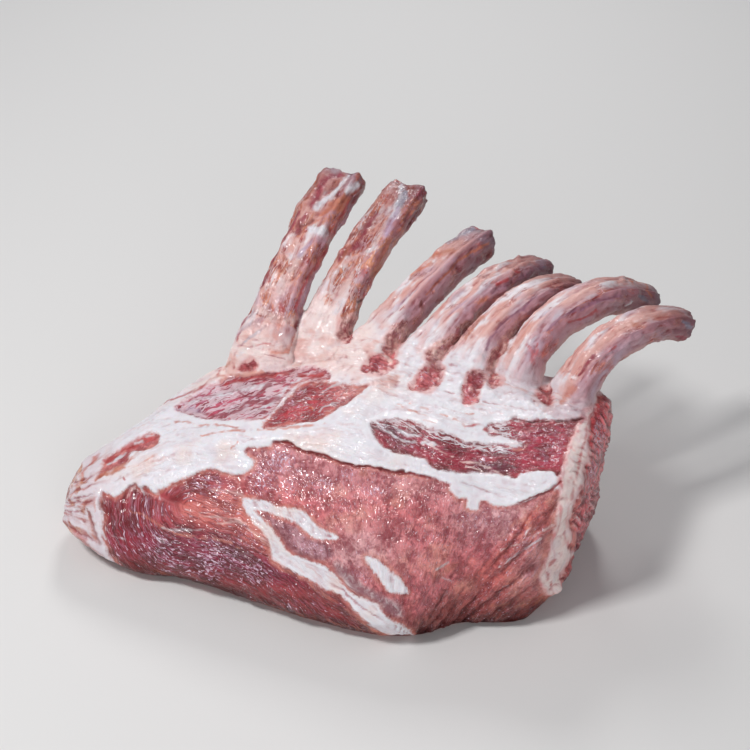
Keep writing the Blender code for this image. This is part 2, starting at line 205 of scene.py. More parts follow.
# Strokes in the order they are laid: colour, half width in pixels, strength, then the line's pixels.
NOSE_STROKES = (
    ("orange", 0.9, 0.6, ((90, 512), (91, 524), (97, 538))),
    ("orange", 0.8, 0.5, ((84, 498), (86, 520), (93, 538))),
    ("salmon", 0.8, 0.6, ((95, 492), (97, 512))),
    ("red", 2.0, 0.5, ((68, 516), (76, 530), (88, 541))),
    ("red", 4.2, 0.85, ((106, 462), (118, 454), (131, 447), (143, 441), (155, 438))),
    ("white", 1.4, 0.9, ((108, 465), (116, 460), (125, 453))),
    ("white", 0.9, 0.8, ((134, 444), (142, 441))),
    ("white", 0.9, 0.7, ((146, 437), (153, 435))),
    ("orange", 3.2, 0.9, ((97, 481), (103, 476), (113, 471), (124, 467))),
    ("salmon", 2.4, 0.7, ((118, 469), (130, 460), (140, 452), (150, 450))),
    ("salmon", 1.0, 0.7, ((130, 466), (148, 461), (158, 455))),
    ("white", 1.6, 0.8, ((136, 456), (148, 453), (156, 451))),
    ("red", 1.0, 0.6, ((84, 474), (92, 464), (102, 455))),
    ("salmon", 2.0, 0.6, ((82, 480), (88, 470), (96, 460))),
    ("orange", 0.9, 0.7, ((72, 497), (78, 488))),
    ("brown", 1.0, 0.8, ((89, 508), (92, 520), (98, 534), (101, 542))),
    ("white", 1.0, 0.7, ((74, 512), (84, 500), (96, 494))),
    ("white", 1.0, 0.7, ((78, 518), (88, 528), (96, 545))),
    ("white", 0.9, 0.7, ((94, 512), (98, 524), (106, 538))),
    ("red", 0.9, 0.9, ((123, 477), (125, 479))),
)
LEFT_FAT_STROKES = (
    ("salmon", 0.8, 0.8, ((176, 423), (200, 425), (220, 427), (240, 429))),
    ("salmon", 0.8, 0.8, ((202, 437), (226, 433), (246, 431))),
    ("salmon", 0.9, 0.7, ((230, 449), (238, 442))),
    ("salmon", 3.0, 0.25, ((118, 441), (150, 428), (180, 420))),
    ("red", 1.4, 0.85, ((150, 413), (180, 398), (204, 387), (216, 378), (226, 361))),
    ("salmon", 1.3, 0.7, ((220, 381), (234, 377), (264, 373))),
)
LEFT_CAP_STROKES = (
    ("white", 2.6, 0.8, ((186, 404), (215, 398), (240, 390), (268, 386))),
    ("white", 2.0, 0.8, ((262, 408), (275, 400), (286, 388))),
    ("red", 1.8, 0.9, ((224, 384), (246, 379), (268, 376), (290, 373))),
    ("red", 4.0, 0.95, ((300, 375), (312, 376), (322, 375))),
    ("crimson", 1.7, 0.9, ((238, 392), (250, 396), (262, 392), (270, 385))),
    ("crimson", 2.3, 0.9, (
        (198, 410), (210, 415), (226, 415), (238, 410), (248, 403), (262, 402), (278, 398),
    )),
    ("crimson", 1.0, 0.8, ((200, 394), (216, 396))),
    ("lilac", 4.0, 0.5, ((174, 410), (186, 408), (200, 412))),
    ("crimson", 5.0, 0.5, ((270, 424), (280, 412), (292, 400))),
    ("white", 0.9, 0.8, ((320, 412), (330, 406), (338, 403))),
    ("white", 1.2, 0.7, ((322, 391), (334, 386), (347, 383))),
    ("white", 1.2, 0.7, ((290, 384), (302, 379))),
    ("salmon", 1.0, 0.8, ((258, 431), (290, 428), (310, 427), (325, 424))),
    ("salmon", 6.0, 0.6, ((345, 394), (362, 388), (380, 383), (396, 380))),
    ("cream", 3.0, 0.5, ((352, 402), (372, 394), (392, 386))),
    ("amber", 1.8, 0.95, ((311, 408), (313, 410))),
)
RIGHT_CAP_STROKES = (
    ("white", 1.1, 0.9, ((377, 423), (385, 432), (397, 438), (408, 441), (433, 445))),
    ("white", 1.3, 0.9, ((387, 421), (395, 428), (408, 435), (422, 438), (437, 445))),
    ("salmon", 2.0, 0.6, ((508, 448), (518, 450), (530, 442))),
    ("crimson", 1.0, 0.9, ((498, 445), (509, 447))),
    ("cream", 0.8, 0.8, ((432, 445), (442, 452), (452, 457))),
    ("cream", 0.8, 0.8, ((460, 462), (477, 463), (490, 468), (502, 476))),
    ("cream", 0.8, 0.8, ((467, 465), (482, 471))),
    # Painted shadow along the crease at the top of the cap.
    ("painted_shadow", 0.9, 0.8, ((513, 420), (543, 421), (560, 420), (583, 419))),
    ("salmon", 0.8, 0.7, ((397, 406), (405, 409), (415, 413))),
    ("salmon", 0.8, 0.7, ((410, 405), (420, 409), (428, 411))),
    ("salmon", 0.8, 0.6, ((415, 413), (426, 417))),
    ("salmon", 0.9, 0.75, ((425, 422), (436, 424))),
    ("salmon", 0.9, 0.75, ((440, 415), (447, 418))),
    ("salmon", 0.9, 0.75, ((453, 420), (460, 424), (465, 428))),
    ("red", 2.2, 0.9, ((467, 427), (477, 427), (486, 431))),
    ("salmon", 0.9, 0.8, ((465, 414), (473, 415))),
    ("salmon", 0.9, 0.5, ((490, 414), (505, 415))),
)
NARROW_STROKES = (
    ("crimson", 6.0, 0.4, ((112, 520), (128, 528), (145, 536))),
    ("white", 0.9, 0.55, ((105, 527), (113, 535), (125, 539))),
    ("white", 1.0, 0.55, ((102, 495), (105, 503), (110, 507))),
    ("cream", 2.5, 0.6, ((127, 498), (132, 490), (137, 483))),
    ("white", 1.0, 0.55, ((157, 489), (160, 499))),
    ("white", 1.0, 0.7, ((140, 486), (143, 496))),
    ("white", 0.9, 0.6, ((171, 484), (168, 492))),
    ("salmon", 1.6, 0.6, (
        (130, 512), (143, 515), (158, 523), (173, 533), (197, 538), (222, 540), (240, 547),
    )),
    ("white", 1.4, 0.55, ((163, 528), (180, 531), (200, 530))),
    ("white", 0.9, 0.55, ((153, 535), (165, 543))),
    ("cream", 3.0, 0.5, ((213, 490), (230, 492), (243, 496))),
    ("cream", 1.6, 0.6, ((217, 523), (238, 523), (255, 533), (272, 547))),
    ("cream", 1.4, 0.6, ((200, 516), (225, 518), (245, 522))),
    ("white", 1.1, 0.5, ((185, 510), (200, 512), (212, 511))),
    ("salmon", 2.5, 0.55, (
        (248, 522), (262, 542), (272, 558), (284, 569), (300, 578), (330, 598), (350, 613), (375, 631),
    )),
    ("orange", 3.0, 0.4, ((150, 570), (200, 586), (260, 604), (330, 622), (390, 636))),
)
BROAD_STROKES = (
    ("crimson", 3.5, 0.6, ((276, 446), (288, 446), (298, 451))),
    ("crimson", 2.5, 0.5, ((247, 450), (254, 455))),
    # Painted shadow along the crease below the fat sheet.
    ("painted_shadow", 0.9, 0.85, ((274, 442), (288, 441), (298, 448), (320, 456), (340, 462), (368, 466))),
    ("painted_shadow", 1.7, 0.95, ((379, 469), (392, 471), (404, 472))),
    ("salmon", 7.0, 0.5, ((352, 471), (368, 473))),
    ("salmon", 6.0, 0.4, ((414, 566), (432, 568), (448, 566))),
    # The thin white line along the facet's edge is a painted highlight.
    ("white", 0.9, 0.7, ((448, 562), (436, 570))),
    ("orange", 8.0, 0.35, ((425, 582), (450, 570), (475, 560))),
    ("white", 0.9, 0.7, ((442, 578), (456, 584))),
    ("white", 0.8, 0.6, ((426, 587), (440, 583))),
    ("cream", 1.0, 0.7, ((500, 551), (512, 545), (526, 541), (540, 533), (552, 525))),
    ("white", 0.9, 0.7, ((500, 567), (516, 555), (534, 543), (542, 538))),
    ("white", 0.8, 0.7, ((500, 589), (508, 585))),
    ("white", 0.9, 0.7, ((526, 533), (530, 528))),
    ("salmon", 6.0, 0.5, ((512, 525), (530, 512), (548, 500))),
    ("lilac", 8.0, 0.3, ((520, 582), (534, 570), (545, 558))),
    ("orange", 5.0, 0.5, ((490, 606), (520, 604), (548, 598))),
)
END_STROKES = (
    ("red", 1.6, 0.6, ((594, 408), (588, 425), (584, 443), (580, 461), (576, 477), (570, 497), (568, 502))),
    ("red", 2.4, 0.7, ((560, 551), (552, 561), (547, 571), (549, 583))),
    ("orange", 2.4, 0.7, ((552, 592), (560, 589))),
)
FEET_STROKES = (
    ("salmon", 2.0, 0.5, ((500, 384), (520, 390), (535, 396))),
    ("salmon", 1.2, 0.7, ((219, 378), (240, 374), (262, 371))),
    ("white", 5.0, 0.5, ((238, 356), (246, 350))),
    ("orange", 1.2, 0.6, ((224, 372), (230, 362))),
    ("cream", 8.0, 0.5, ((300, 365), (330, 362), (350, 368))),
)
MEAT_STROKES = (
    NOSE_STROKES + LEFT_FAT_STROKES + LEFT_CAP_STROKES + RIGHT_CAP_STROKES + NARROW_STROKES + BROAD_STROKES
    + END_STROKES + FEET_STROKES
)
# The same for each bone, by its number from the left.
BONE_STROKES = {
    1: (
        ("crimson", 4.5, 0.85, ((341, 174), (326, 178), (318, 192), (311, 206))),
        ("orange", 4.5, 0.8, ((330, 205), (339, 202), (347, 199))),
        ("orange", 4.5, 0.8, ((320, 214), (332, 210), (341, 209))),
        ("white", 3.2, 0.85, ((349, 176), (340, 184), (333, 193), (325, 201), (316, 208))),
        ("white", 4.5, 0.8, ((346, 192), (356, 186))),
        ("white", 6.0, 0.95, ((308, 228), (316, 230), (324, 232))),
        ("cream", 6.0, 0.7, ((303, 250), (296, 262), (288, 276), (280, 290))),
        ("lilac", 3.0, 0.7, ((312, 240), (306, 248), (300, 254))),
        ("crimson", 1.6, 0.85, ((300, 212), (286, 236), (270, 262), (258, 288))),
        ("crimson", 3.0, 0.8, ((306, 214), (300, 222), (296, 232))),
        ("brown", 2.0, 0.7, ((297, 226), (305, 223), (312, 220))),
        ("brown", 2.0, 0.7, ((283, 252), (286, 259))),
        ("red", 3.0, 0.6, ((268, 272), (266, 282))),
        ("orange", 4.0, 0.5, ((268, 288), (264, 296))),
        ("orange", 3.0, 0.5, ((300, 262), (306, 270))),
        ("red", 6.5, 0.75, ((279, 304), (281, 312), (280, 320))),
        ("lilac", 4.0, 0.55, ((352, 205), (341, 227), (329, 256), (311, 283), (302, 304), (301, 330))),
        ("red", 0.9, 0.8, ((350, 200), (338, 223), (325, 253), (307, 280), (298, 303), (297, 338))),
        ("red", 1.2, 0.7, ((238, 340), (248, 310), (256, 292))),
        ("mauve", 2.0, 0.4, ((250, 330), (262, 318))),
        ("crimson", 1.6, 0.8, ((226, 348), (234, 328), (243, 309), (250, 292))),
        ("mauve", 1.7, 0.5, ((236, 338), (246, 328), (258, 319))),
        ("mauve", 1.7, 0.5, ((242, 345), (254, 335), (266, 326))),
        ("mauve", 1.7, 0.5, ((240, 326), (250, 316), (256, 308))),
        ("white", 1.7, 0.5, ((238, 333), (250, 322), (258, 312))),
        ("white", 1.7, 0.5, ((246, 342), (258, 331))),
        ("red", 1.2, 0.6, ((256, 346), (263, 344), (270, 343))),
        ("cream", 6.0, 0.65, ((254, 308), (268, 314), (282, 321), (296, 320))),
        ("salmon", 4.0, 0.6, ((280, 318), (279, 328), (276, 336))),
        ("salmon", 3.5, 0.75, ((272, 352), (284, 352), (291, 346), (295, 338))),
        ("crimson", 1.6, 0.8, ((266, 354), (276, 358), (286, 360), (294, 361))),
    ),
    2: (
        ("crimson", 4.5, 0.85, ((338, 260), (347, 250), (357, 243))),
        ("brown", 3.0, 0.75, ((350, 236), (362, 228), (371, 217))),
        ("white", 6.5, 0.8, ((402, 184), (400, 200), (394, 214))),
        ("grey", 5.0, 0.8, ((404, 188), (403, 196), (401, 204))),
        ("crimson", 2.0, 0.8, ((377, 212), (368, 224), (360, 236))),
        ("cream", 4.0, 0.6, ((386, 222), (378, 236), (368, 250))),
        ("cream", 6.0, 0.8, ((352, 270), (346, 284), (340, 296))),
        ("lilac", 4.5, 0.7, ((398, 208), (392, 221), (386, 234))),
        ("orange", 4.5, 0.75, ((389, 240), (381, 260), (374, 276))),
        ("crimson", 3.0, 0.7, ((414, 195), (424, 193))),
        ("brown", 2.0, 0.7, ((411, 211), (405, 220))),
        ("white", 4.0, 0.7, ((368, 251), (374, 247))),
        ("orange", 1.2, 0.7, ((327, 290), (336, 268), (350, 245))),
        ("white", 5.0, 0.6, ((345, 300), (335, 312))),
        ("painted_shadow", 1.3, 0.8, ((358, 302), (368, 298))),
        ("orange", 2.0, 0.8, ((342, 316), (355, 310), (368, 305))),
    ),
    3: (
        ("lilac", 5.0, 0.4, ((395, 310), (430, 275), (455, 258))),
        ("mauve", 5.0, 0.45, ((440, 300), (462, 284), (482, 268))),
        ("orange", 1.1, 0.85, ((426, 294), (447, 273), (467, 255), (488, 243))),
        ("orange", 3.0, 0.75, ((433, 256), (453, 250))),
        ("orange", 1.5, 0.7, ((408, 280), (420, 269), (432, 262))),
        ("grey", 2.5, 0.7, ((447, 243), (460, 234), (473, 228))),
        ("red", 2.5, 0.7, ((476, 226), (486, 228))),
        ("grey", 4.0, 0.55, ((480, 240), (484, 239))),
        ("brown", 2.2, 0.8, ((422, 300), (422, 306))),
    ),
    4: (
        ("lilac", 5.0, 0.4, ((450, 315), (475, 297), (500, 276))),
        ("mauve", 4.5, 0.55, ((492, 293), (515, 280), (542, 268))),
        ("orange", 3.5, 0.75, ((478, 303), (486, 299))),
        ("red", 1.8, 0.95, ((497, 283), (507, 279))),
        ("red", 1.5, 0.8, ((517, 272), (520, 271))),
        ("grey", 3.5, 0.5, ((535, 262), (545, 264))),
        # Painted shadow in the gap between bones 4 and 5.
        ("painted_shadow", 1.4, 0.9, ((444, 367), (443, 376), (434, 390))),
    ),
    5: (
        ("mauve", 2.0, 0.8, ((486, 350), (500, 325), (510, 316), (523, 308), (537, 293))),
        ("orange", 4.0, 0.4, ((500, 345), (510, 330), (525, 316))),
        ("orange", 1.5, 0.6, ((464, 338), (474, 326), (483, 317))),
        ("brown", 2.4, 0.8, ((471, 372), (473, 371))),
    ),
    6: (
        ("orange", 3.0, 0.45, ((510, 352), (520, 338), (532, 322))),
        ("red", 3.5, 0.6, ((527, 345), (531, 352), (533, 362))),
        ("red", 2.5, 0.6, ((537, 344), (536, 354))),
        ("mauve", 3.0, 0.75, ((548, 331), (563, 316), (583, 307), (603, 300), (620, 297))),
        ("red", 1.2, 0.8, ((570, 323), (590, 315), (598, 311))),
        ("grey", 3.0, 0.85, ((640, 297), (646, 299))),
        ("orange", 1.2, 0.8, ((630, 280), (644, 284), (652, 296))),
        ("white", 1.5, 0.9, ((627, 306), (630, 301))),
        ("orange", 2.0, 0.6, ((606, 289), (611, 288))),
    ),
    7: (
        ("grey", 5.0, 0.3, ((603, 334), (613, 323))),
        ("crimson", 2.2, 0.9, ((578, 375), (585, 367), (593, 356))),
        ("red", 1.6, 0.8, ((608, 353), (617, 347))),
        ("orange", 5.0, 0.6, ((632, 324), (642, 326))),
        ("orange", 3.0, 0.5, ((655, 318), (668, 316))),
        ("grey", 3.5, 0.85, ((684, 322), (689, 327))),
        ("crimson", 2.5, 0.9, ((676, 337), (686, 339))),
        ("salmon", 6.0, 0.75, ((562, 404), (568, 395), (573, 388))),
    ),
}

# Small lumps that stand out: x, y, radius in pixels, height in millimetres.
KNOBS = (
    (251, 453, 5, 1.4), (424, 379, 8, 2.0), (432, 388, 5, 1.2), (558, 588, 6, 1.8), (544, 591, 5, 1.0),
    (470, 388, 7, 1.5), (474, 398, 5, 1.2), (372, 368, 6, 1.2), (545, 397, 5, 1.6), (497, 381, 4, 1.2),
    (623, 280, 4, 1.2), (628, 303, 3, 1.0), (517, 256, 4, 1.2), (457, 334, 6, 1.3), (472, 318, 5, 1.2),
    (444, 345, 5, 1.2), (497, 352, 5, 1.0), (507, 338, 5, 1.0), (529, 350, 5, 1.0), (416, 222, 5, 1.2),
    (285, 255, 3, 1.0), (280, 346, 6, 1.3), (322, 190, 4, 1.0), (341, 252, 5, 1.2), (312, 409, 3, 0.6),
    (567, 400, 6, 1.4), (610, 352, 4, 0.8),
)
# Places of painted glints, highlights of the wet lean: x, y, half width, half height in pixels, strength.
GLINTS = (
    (150, 545, 40, 16, 0.6), (228, 570, 45, 15, 0.75), (300, 608, 30, 10, 0.4), (281, 461, 13, 12, 0.9),
    (287, 490, 12, 11, 0.8), (319, 486, 15, 9, 0.8), (346, 474, 8, 7, 0.7), (336, 513, 10, 8, 0.6),
    (376, 491, 18, 5, 0.7), (262, 480, 12, 14, 0.7), (300, 470, 12, 10, 0.5), (420, 500, 30, 8, 0.4),
    (470, 520, 22, 10, 0.4), (305, 548, 22, 8, 0.6), (350, 580, 22, 10, 0.6), (170, 505, 35, 16, 0.6),
    (210, 485, 25, 10, 0.6), (140, 520, 25, 15, 0.4), (190, 555, 50, 18, 0.75), (250, 575, 30, 12, 0.65),
    (120, 545, 15, 12, 0.5), (250, 540, 20, 14, 0.4), (430, 445, 40, 12, 0.3), (400, 440, 16, 10, 0.35),
    (490, 460, 25, 8, 0.3), (535, 450, 30, 18, 0.5), (560, 440, 14, 16, 0.5), (210, 400, 30, 10, 0.9),
    (255, 395, 25, 8, 0.7), (300, 400, 22, 12, 0.5), (420, 560, 25, 10, 0.4), (500, 560, 20, 10, 0.3),
    (530, 540, 20, 14, 0.5), (598, 430, 8, 26, 0.7), (590, 480, 10, 26, 0.7), (580, 530, 10, 20, 0.6),
    (320, 545, 12, 6, 0.4), (440, 540, 25, 12, 0.3),
)
# Each bone's ridge and groove on its outer face: ridge place across and height, groove place and depth (mm).
BONE_FACES = (
    (0.70, 1.5, 0.05, 0.7),
    (0.80, 0.9, -0.05, 1.7),
    (0.45, 1.4, -0.30, 0.5),
    (0.35, 1.0, -0.35, 0.3),
    (0.20, 0.7, 0.62, 1.1),
    (0.10, 0.7, 0.60, 1.2),
    (0.05, 0.8, 0.65, 0.8),
)


# ---------------------------------------------------------------- small helpers
def smooth(x, low=0.0, high=1.0):
    """Smooth step from 0 at low to 1 at high."""
    x = np.clip((x - low) / (high - low), 0.0, 1.0)
    return x * x * (3.0 - 2.0 * x)


def bell(x, centre, width):
    """1 at the centre, falling off over the width."""
    return np.exp(-((x - centre) / width) ** 2)


def rgb(red, green, blue):
    """Linear colour from the 0 to 255 values of a display."""
    c = np.array((red, green, blue)) / 255.0
    return np.where(c <= 0.04045, c / 12.92, ((c + 0.055) / 1.055) ** 2.4)


def lay(colour, new, amount):
    """The colour covered by the new one, by an amount of 0 to 1 for each point."""
    return colour + (new - colour) * np.clip(amount, 0, 1)[:, None]


def within(places, line, reach):
    """Which places lie in the box of a line, widened by reach."""
    return (places > line.min(0) - reach).all(1) & (places < line.max(0) + reach).all(1)


class Noise:
    """Gradient noise in three dimensions, about -1 to 1."""

    def __init__(self, seed):
        rng = np.random.default_rng(seed)
        self.order = np.concatenate([rng.permutation(256)] * 3)
        slopes = rng.normal(size=(256, 3))
        self.slopes = slopes / np.linalg.norm(slopes, axis=1)[:, None]

    def __call__(self, places):
        cell = np.floor(places).astype(int)
        f = places - cell
        fade = f * f * f * (f * (f * 6 - 15) + 10)
        cell &= 255
        total = np.zeros(len(places))
        for step in itertools.product((0, 1), repeat=3):
            corner = np.zeros(len(places), int)
            for axis in range(3):
                corner = self.order[corner + cell[:, axis] + step[axis]]
            slope = (self.slopes[corner] * (f - step)).sum(1)
            total += slope * np.abs(1 - np.array(step) - fade).prod(1)
        return total * 1.6


LUMPS, GRAINS, STREAKS = Noise(11), Noise(23), Noise(37)


def octaves(noise, places, count=3):
    """Noise with ever finer noise on it."""
    return sum(noise(places * 2 ** k + 17.3 * k) / 2 ** k for k in range(count)) / 1.6


def folds(noise, places):
    """Round backs with sharp valleys between them, 0 to 1."""
    return np.minimum(np.abs(noise(places)) * 2.2, 1.0)


# ---------------------------------------------------------------- skin over the solids
VOXEL = 0.85 * MM
INFLATE = 0.45 * MM


def joined_solids():
    """One mesh of all nodes, bones a little thicker so that they meet the meat."""
    corners, faces, start = [], [], 0
    for name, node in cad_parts.items():
        mesh = node.data
        co = np.empty(len(mesh.vertices) * 3)
        mesh.vertices.foreach_get("co", co)
        co = co.reshape(-1, 3)
        if name != "loin":
            outward = np.empty(len(mesh.vertices) * 3)
            mesh.vertices.foreach_get("normal", outward)
            co = co + outward.reshape(-1, 3) * INFLATE
        corners.append(co)
        faces += [[start + v for v in polygon.vertices] for polygon in mesh.polygons]
        start += len(co)
    mesh = bpy.data.meshes.new("solids")
    mesh.from_pydata(np.vstack(corners).tolist(), [], faces)
    return mesh


def skin():
    """Even quads over the joined solids, as points and faces."""
    thing = bpy.data.objects.new("solids", joined_solids())
    bpy.context.scene.collection.objects.link(thing)
    step = thing.modifiers.new("skin", "REMESH")
    step.mode = "VOXEL"
    step.voxel_size = VOXEL
    made = thing.evaluated_get(bpy.context.evaluated_depsgraph_get()).to_mesh()
    co = np.empty(len(made.vertices) * 3)
    made.vertices.foreach_get("co", co)
    corners = np.empty(len(made.loops), dtype=int)
    made.loops.foreach_get("vertex_index", corners)
    bpy.data.objects.remove(thing)
    return co.reshape(-1, 3), corners.reshape(-1, 4)


def neighbour_table(faces, count):
    """Neighbours of every point in a row, filled up with the point itself, and how many are real."""
    pairs = np.vstack([faces[:, (k, (k + 1) % 4)] for k in range(4)])
    pairs = np.unique(np.sort(pairs, axis=1), axis=0)
    pairs = np.vstack([pairs, pairs[:, ::-1]])
    pairs = pairs[np.argsort(pairs[:, 0], kind="stable")]
    real = np.bincount(pairs[:, 0], minlength=count)
    first = np.concatenate([[0], np.cumsum(real)[:-1]])
    table = np.tile(np.arange(count)[:, None], (1, real.max()))
    table[pairs[:, 0], np.arange(len(pairs)) - first[pairs[:, 0]]] = pairs[:, 1]
    return table, real


points, quads = skin()
neighbours, degree = neighbour_table(quads, len(points))


def spread(values):
    """Mean of the neighbours' values."""
    spare = neighbours.shape[1] - degree
    if values.ndim == 2:
        return (values[neighbours].sum(1) - spare[:, None] * values) / degree[:, None]
    return (values[neighbours].sum(1) - spare * values) / degree


def blurred(values, rounds):
    for _ in range(rounds):
        values = spread(values)
    return values


def normals(co):
    """Outward direction of the skin at every point."""
    a, b, c, d = (co[quads[:, k]] for k in range(4))
    face = np.cross(c - a, d - b)
    total = np.zeros_like(co)
    for k in range(4):
        for axis in range(3):
            total[:, axis] += np.bincount(quads[:, k], weights=face[:, axis], minlength=len(co))
    return total / np.linalg.norm(total, axis=1)[:, None]


def relax(co, rounds, share=1.0):
    """Smooths without much shrinking; share is a number or one for each point."""
    share = np.broadcast_to(share, len(co))[:, None]
    for _ in range(rounds):
        co = co + share * 0.6 * (spread(co) - co)
        co = co - share * 0.5 * (spread(co) - co)
    return co


points = relax(points, 7)


# ---------------------------------------------------------------- where each point is
def rib_line(row, steps=60):
    """Centre line of a bone in metres, its tangents and its shares of the bared length."""
    x, y, z, heading, length, slope, tip_slope, power = row[:8]
    level = np.array((math.sin(math.radians(heading)), math.cos(math.radians(heading)), 0.0))
    share = np.linspace(-ROOT_LENGTH / length, 1.0, steps)
    angle = np.where(share < 0, slope + (ROOT_SLOPE - slope) * smooth(-share * length / ROOT_LENGTH),
                     slope + (tip_slope - slope) * np.clip(share, 0, 1) ** power)
    angle = np.radians(angle)
    tangent = np.cos(angle)[:, None] * level + np.sin(angle)[:, None] * np.array((0, 0, 1.0))
    step = (share[1] - share[0]) * length
    line = np.vstack([np.zeros(3), np.cumsum((tangent[1:] + tangent[:-1]) / 2 * step, axis=0)])
    zero = np.array([np.interp(0.0, share, line[:, k]) for k in range(3)])
    return (line - zero + np.array((x, y, z)) + SHIFT) * MM, tangent, share


def bone_places():
    """For each point: the nearest bone, distance to its line (m), share along it, place across and above."""
    best = np.full(len(points), 9.9)
    owner = np.zeros(len(points), int)
    share, side, top = (np.zeros(len(points)) for _ in range(3))
    for k, row in enumerate(RIBS):
        line, tangent, line_share = rib_line(row)
        near = np.flatnonzero(within(points, line, 0.03))
        gap = np.linalg.norm(points[near][:, None] - line[None], axis=2)
        step = gap.argmin(1)
        gap = gap.min(1)
        closer = gap < best[near]
        near, step = near[closer], step[closer]
        best[near] = gap[closer]
        heading = math.radians(row[3])
        across = np.array((math.cos(heading), -math.sin(heading), 0.0))
        away = points[near] - line[step]
        ahead = (away * tangent[step]).sum(1)
        away = away - ahead[:, None] * tangent[step]
        owner[near] = k
        share[near] = line_share[step] + ahead / (row[4] * MM)
        side[near] = (away @ across) / (row[8] * MM / 2)
        top[near] = (away * np.cross(across, tangent[step])).sum(1) / (row[9] * MM / 2)
    return owner, best, share, side, top


owner, off, share, side, top = bone_places()
REACH = 0.024      # how far from its line a point can be a bone's
by_bone = off < REACH
on_rib = by_bone & (share > 0.10)
bone_mix = smooth(share, 0.0, 0.16) * by_bone

# The feet of the bones flow into the meat.
foot_zone = blurred(smooth(share, -0.25, 0.0) * (1 - smooth(share, 0.20, 0.36)) * by_bone, 4)
points = relax(points, 22, foot_zone)

# The belly of the narrow end sags a little.
SAG_AT, SAG_WIDTH, SAG, SAG_TOP = np.array((-0.0980, -0.0980)), 0.020, 0.009, 0.036
sag = np.exp(-((points[:, :2] - SAG_AT) ** 2).sum(1) / SAG_WIDTH ** 2)
sag *= 1 - smooth(points[:, 2], 0.0, SAG_TOP)
points[:, :2] += SAG * sag[:, None] * TOWARD_EYE
out = normals(points)


def project(co):
    """Pixels of the photograph where the points show."""
    away = co - EYE
    depth = -(away @ BACK)
    scale = FRAME_PX * LENS / SENSOR / depth
    return np.stack([FRAME_PX / 2 + scale * (away @ RIGHT), FRAME_PX / 2 - scale * (away @ UP)], axis=1)


WARP = ((9.0, 1.6), (3.2, 1.1), (1.4, 0.5))     # waver of painted edges: size in mm, reach in pixels


def wavered(co):
    """Pixels of the points, moved a little so that painted edges waver as torn tissue does."""
    where = project(co)
    for size, reach in WARP:
        where[:, 0] += reach * LUMPS(co / MM / size + 41)
        where[:, 1] += reach * LUMPS(co / MM / size + 83)
    return where


px = wavered(points)
to_eye = EYE - points
facing = (out * to_eye).sum(1) / np.linalg.norm(to_eye, axis=1)
shown = smooth(facing, -0.05, 0.2)
FAR = -60.0
REACH_PX = 26.0


def rounded(outline, closed=True, steps=4):
    """The outline's corners, taken round by a Catmull-Rom curve."""
    p = np.array(outline, float)
    if closed:
        p = np.vstack([p[-1], p, p[0], p[1]])
    else:
        p = np.vstack([2 * p[0] - p[1], p, 2 * p[-1] - p[-2]])
    u = np.linspace(0, 1, steps, endpoint=False)[:, None]
    a, b, c, d = (p[k:len(p) - 3 + k, None] for k in range(4))
    square, cube = 2 * a - 5 * b + 4 * c - d, 3 * b - a - 3 * c + d
    curve = 0.5 * (2 * b + (c - a) * u + square * u * u + cube * u ** 3)
    curve = curve.reshape(-1, 2)
    return curve if closed else np.vstack([curve, p[-2]])


def close_to(line, reach=REACH_PX):
    """Numbers of the points that show within reach of a line of pixels."""
    return np.flatnonzero(within(px, line, reach) & (shown > 0))


def nearest(line, where):
    """Distance to a line of pixels, side of it and length along it, all in millimetres."""
    best = np.full(len(where), 1e9)
    turn, along = np.zeros(len(where)), np.zeros(len(where))
    start = 0.0
    for number, (a, b) in enumerate(zip(line, line[1:])):
        step = b - a
        length = math.hypot(*step)
        free = ((where - a) @ step) / (length * length)
        t = np.clip(free, 0, 1)
        away = where - a - t[:, None] * step
        t = np.clip(free, -99 if number == 0 else 0, 99 if number == len(line) - 2 else 1)
        gap = np.hypot(away[:, 0], away[:, 1])
        closer = gap < best
        best[closer] = gap[closer]
        turn[closer] = np.sign(step[0] * away[:, 1] - step[1] * away[:, 0])[closer]
        along[closer] = (start + t * length)[closer]
        start += length
    return best * PX_MM, turn, along * PX_MM


def inside(outline):
    """Distance in millimetres to the edge of an outline, above 0 within it, for every point that shows."""
    line = rounded(outline)
    chosen = close_to(line)
    where = px[chosen]
    gap = nearest(np.vstack([line, line[0]]), where)[0]
    crossings = np.zeros(len(where), bool)
    for a, b in zip(line, np.roll(line, -1, axis=0)):
        spans = (a[1] > where[:, 1]) != (b[1] > where[:, 1])
        height = b[1] - a[1]
        cut = a[0] + (where[:, 1] - a[1]) * (b[0] - a[0]) / (height if height else 1.0)
        crossings ^= spans & (where[:, 0] < cut)
    result = np.full(len(points), FAR)
    result[chosen] = np.where(crossings, gap, -gap)
    return result


# ---------------------------------------------------------------- fields on the skin
# Muscles, fat and patches are millimetres into their outlines, and below 0 outside.
mm = points / MM
X_PX, Y_PX = px[:, 0], px[:, 1]
height = mm[:, 2]
front_muscle, right_cap, left_cap = inside(FRONT_MUSCLE), inside(RIGHT_CAP), inside(LEFT_CAP)
left_red, lean_patch, upper = inside(LEFT_CAP_RED), inside(LEAN_PATCH), inside(UPPER_MUSCLE)
streak_low, streak_high, white_patch = inside(STREAK_LOW), inside(STREAK_HIGH), inside(WHITE_PATCH)
end_strip, end_face, facet, flank = inside(END_STRIP), inside(END_FACE), inside(FACET), inside(SALMON_FLANK)
wedge, brown = inside(DARK_WEDGE), inside(BROWN_PATCH)
torn = np.maximum.reduce([inside(outline) for outline in TORN])
meat_part = 1 - bone_mix


